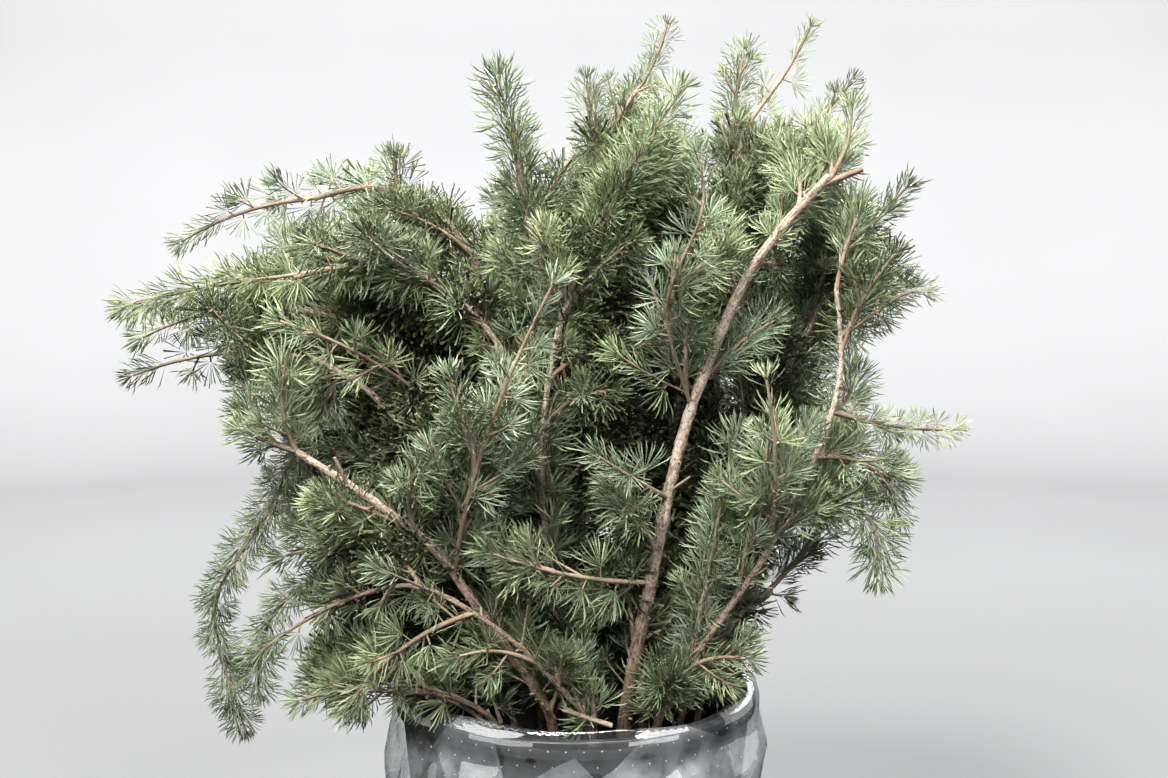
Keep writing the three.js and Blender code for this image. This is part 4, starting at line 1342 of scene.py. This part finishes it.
# a shoot to each place, from where it turns least
def growTowards(places, draw, least):
    limbs, aheads = limbPoints()
    low, high = crown["reach"]
    turning, straight = crown["sideways"]
    for place, far, wish in places:
        gaps = place - limbs
        spans = np.linalg.norm(gaps, axis=1)
        forward = (gaps * aheads).sum(axis=1) / np.maximum(spans, 1)
        sideways = turning * np.clip(straight - forward, 0, 2)
        downward = crown["downward"] * np.clip(-gaps[:, 2] / spans, 0, 1)
        cost = np.abs(spans - wish) + sideways + downward
        cost[(spans < low) | (spans > high) | (forward < least)] = np.inf
        best = cost.argmin()
        if not np.isfinite(cost[best]):
            continue
        bow = (aheads[best] * spans[best] - gaps[best]) * crown["bow"]
        path = bowedCurve(limbs[best], place, bow)(np.linspace(0, 1, 10))
        if any(hidesWood(point, 0) for point in path[3:]):
            continue
        # painted shade: filling deep inside the crown gets the darkest greens
        choice = ("inner", "inner", "deep") if far < crown["dark"] else ("mid", "mid", "blue", "sage", "deep")
        growShoot(path, crown["spread"], draw.choice(choice), draw, shy=True)


def growFans():
    draw = random.Random(crown["seed"] + 1)
    for stem, at, tip, green in crown["fans"]:
        line = bowedCurve(stemLine(stem)(at)[0], tip, crown["fanBow"])(np.linspace(0, 1, 10))
        growShoot(line, crown["fanSpread"], green, draw)
    for foot, end, radii in crown["stubs"]:
        twigLines.append((np.array((foot, end), float), radii))


def growFill():
    draw = random.Random(crown["seed"])
    growTowards(fillPlaces(draw), draw, crown["least"])
    for turn in range(crown["patches"]):
        places = thinPlaces(draw)
        print("fill:", len(places), "thin places")
        growTowards(places, draw, crown["least"] - crown["ease"] * turn)


growSprays()
growSpurs()
growCollars()
growFans()
growFill()
print("growth:", len(shootLines), "shoots,", len(twigLines), "twigs,", {g: len(t) for g, t in tufts.items()})


# Twigs and buds

def youngBark():
    material, tree, shader, where = newMaterial("youngBark", {"Roughness": 0.72, "Specular IOR Level": 0.3})
    fine = addNoise(tree, where, 620, 4, 0.65)
    tan = addRamp(tree, addNoise(tree, where, 42, 3), (
        (0.32, (0.190, 0.130, 0.088)), (0.52, (0.300, 0.227, 0.163)), (0.72, (0.43, 0.352, 0.270))))
    grain = addRamp(tree, fine, ((0.3, (0.55, 0.52, 0.5)), (0.6, (1, 1, 1))))
    tree.links.new(multiply(tree, tan, grain), shader.inputs["Base Color"])
    addBump(tree, shader, fine, 0.5, 0.0005)
    return material


def budScales():
    material, tree, shader, where = newMaterial("budScales", {"Roughness": 0.55, "Specular IOR Level": 0.4})
    scale = addNode(tree, "ShaderNodeTexVoronoi", {"Vector": where, "Scale": 900}).outputs["Distance"]
    rust = addRamp(tree, scale, ((0.1, (0.44, 0.27, 0.13)), (0.6, (0.22, 0.11, 0.05))))
    tree.links.new(rust, shader.inputs["Base Color"])
    return material


def budShape():
    points = [(0, 0, -0.4), (1.0, 0, 1.2), (0, 1.0, 1.2), (-1.0, 0, 1.2), (0, -1.0, 1.2), (0, 0, 4.0)]
    faces = [(0, 2, 1), (0, 3, 2), (0, 4, 3), (0, 1, 4), (1, 2, 5), (2, 3, 5), (3, 4, 5), (4, 1, 5)]
    return points, faces, [p[2] / 4 for p in points]


twigBark = youngBark()
shootPiece = growWood("shootWood", shootLines, 4, twigBark)
twigPiece = growWood("twigWood", twigLines, 4, twigBark)
spurPiece = growWood("spurWood", spurLines, 3, twigBark)
budShelf = shapeShelf("bud", [budShape()])
budFeet, budFacings, budSizes = zip(*budPlaces)
plain = np.zeros(len(budPlaces))
budPiece = copyShapes("buds", budShelf, budFeet, budFacings, plain, budSizes, plain, budScales())
clearShelf(budShelf)
for piece in (shootPiece, twigPiece, spurPiece, budPiece):
    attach(piece, "root")
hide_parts(*("spray_" + name for name in sprays))
for piece in (shootPiece, twigPiece, spurPiece, budPiece):
    print(piece.name + ":", len(piece.data.polygons), "faces")


# Needles

needle = {
    "belly": 0.74, "bluntBelly": 0.96, "curl": 0.05, "seed": 9, "most": 1150,  # most tufts in one piece
    "forms": {
        "rosette": {"shapes": 6, "count": (19, 22), "open": (6, 70), "length": (21, 25), "width": 1.15},
        "brush": {"shapes": 3, "count": (13, 16), "open": (28, 60), "length": (17, 22), "width": 1.2,
                  "stretch": 12},
        "tip": {"shapes": 3, "count": (16, 20), "open": (3, 56), "length": (14, 19), "width": 1.2,
                "stretch": 2},
        "shaded": {"shapes": 4, "count": (16, 19), "open": (6, 74), "length": (21, 25), "width": 1.25,
                   "blunt": True},
        "inner": {"shapes": 3, "count": (13, 15), "open": (10, 88), "length": (22, 29), "width": 2.5,
                  "blunt": True},
    },
    "spotJitter": 0.06, "lengthJitter": (0.92, 1.05), "turnJitter": 0.35, "foot": 0.5,
    "straw": (0.34, 0.30, 0.13),
}
needleGreens = {  # shaded and sunlit colour of each green
    # the inner green is near-black painted shade for needles deep inside and at the back of the bunch
    "inner": ((0.010, 0.016, 0.007), (0.034, 0.048, 0.023)),
    "deep": ((0.022, 0.034, 0.016), (0.112, 0.146, 0.076)),
    "mid": ((0.050, 0.070, 0.034), (0.285, 0.348, 0.200)),
    "blue": ((0.060, 0.085, 0.050), (0.325, 0.400, 0.272)),
    "sage": ((0.105, 0.134, 0.070), (0.365, 0.424, 0.242)),
    "fresh": ((0.066, 0.088, 0.040), (0.255, 0.300, 0.150)),
}


# one needle: a point at its foot, three sides at its belly, and a sharp tip
def needleMesh(foot, direction, length, width, inward, turn, blunt):
    side = unit(np.cross(direction, inward) + 1e-6)
    other = np.cross(direction, side)
    reach = needle["bluntBelly" if blunt else "belly"]
    belly = foot + direction * length * reach - inward * length * needle["curl"] * 0.25
    ring = [belly + width / 2 * (math.cos(turn + a) * side + math.sin(turn + a) * other)
            for a in (0, 2 * math.pi / 3, 4 * math.pi / 3)]
    if blunt:
        return [foot, *ring], [(0, 2, 1), (0, 3, 2), (0, 1, 3), (1, 2, 3)], [0, 1, 1, 1]
    tip = foot + direction * length + inward * length * needle["curl"]
    faces = [(0, 2, 1), (0, 3, 2), (0, 1, 3), (1, 2, 4), (2, 3, 4), (3, 1, 4)]
    return [foot, *ring, tip], faces, [0, *[needle["belly"]] * 3, 1]


def tuftShape(form, draw):
    points, faces, along = [], [], []
    count = draw.randint(*form["count"])
    turn = draw.uniform(0, 6.28)
    usual = draw.uniform(*form["length"])
    low, high = (math.cos(math.radians(a)) for a in form["open"])
    stretch, jitter = form.get("stretch", 0), needle["turnJitter"]
    for k in range(count):
        share = (k + 0.5) / count
        spot = min(max(share + draw.uniform(-needle["spotJitter"], needle["spotJitter"]), 0), 1)
        lean = math.acos(low + (high - low) * spot)
        if stretch > 4:  # single needles up a piece of shoot
            lean = math.radians(draw.uniform(*form["open"]))
        out = np.array((math.cos(turn), math.sin(turn), 0))
        direction = unit(leaning(up, out, lean))
        foot = up * stretch * share + direction * needle["foot"]
        inward = unit(up - direction * np.dot(up, direction) + 1e-6)
        length = usual * draw.uniform(*needle["lengthJitter"])
        mesh, sides, places = needleMesh(foot, direction, length, form["width"], inward, draw.uniform(0, 2),
                                         form.get("blunt", False))
        faces += [tuple(len(points) + v for v in side) for side in sides]
        points += mesh
        along += places
        turn += math.radians(growth["turn"]) + draw.uniform(-jitter, jitter)
    return points, faces, along


def needleSkin(name, shaded, sunlit):
    material, tree, shader, where = newMaterial(name, {"Roughness": 0.42, "Specular IOR Level": 0.24})
    shade, along = (addNode(tree, "ShaderNodeAttribute", attribute_name=label).outputs["Fac"]
                    for label in ("shade", "along"))
    blend = addMath(tree, "ADD", addNoise(tree, where, 26, 3), shade)
    body = mixColours(tree, addRange(tree, blend, 0.45, 1.5), shaded, sunlit)
    pale = tuple(0.5 * s + 0.5 * p for s, p in zip(sunlit, needle["straw"]))
    ends = addRamp(tree, along, (
        (0.0, (0.75, 0.75, 0.75)), (0.25, (0, 0, 0)), (0.75, (0, 0, 0)), (1.0, (0.4, 0.4, 0.4))))
    tree.links.new(mixColours(tree, ends, body, pale), shader.inputs["Base Color"])
    return material


def makeNeedles():
    draw = random.Random(needle["seed"])
    forms = needle["forms"].values()
    shelf = shapeShelf("tuft", [tuftShape(form, draw) for form in forms for _ in range(form["shapes"])])
    pieces = []
    for green in greens:
        skin = needleSkin(green + "Needles", *needleGreens[green])
        parts = max(1, math.ceil(len(tufts[green]) / needle["most"]))
        for part in range(parts):
            name = f"{green}Needles{part + 1}"
            place, facing, roll, size, kind, shade = zip(*tufts[green][part::parts])
            pieces.append(copyShapes(name, shelf, place, facing, roll, size, kind, skin, shade))
    clearShelf(shelf)
    return pieces


needlePieces = makeNeedles()
for piece in needlePieces:
    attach(piece, "root")
    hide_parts(*("spray_" + name for name in sprays))
    print(piece.name + ":", len(piece.data.polygons), "faces")
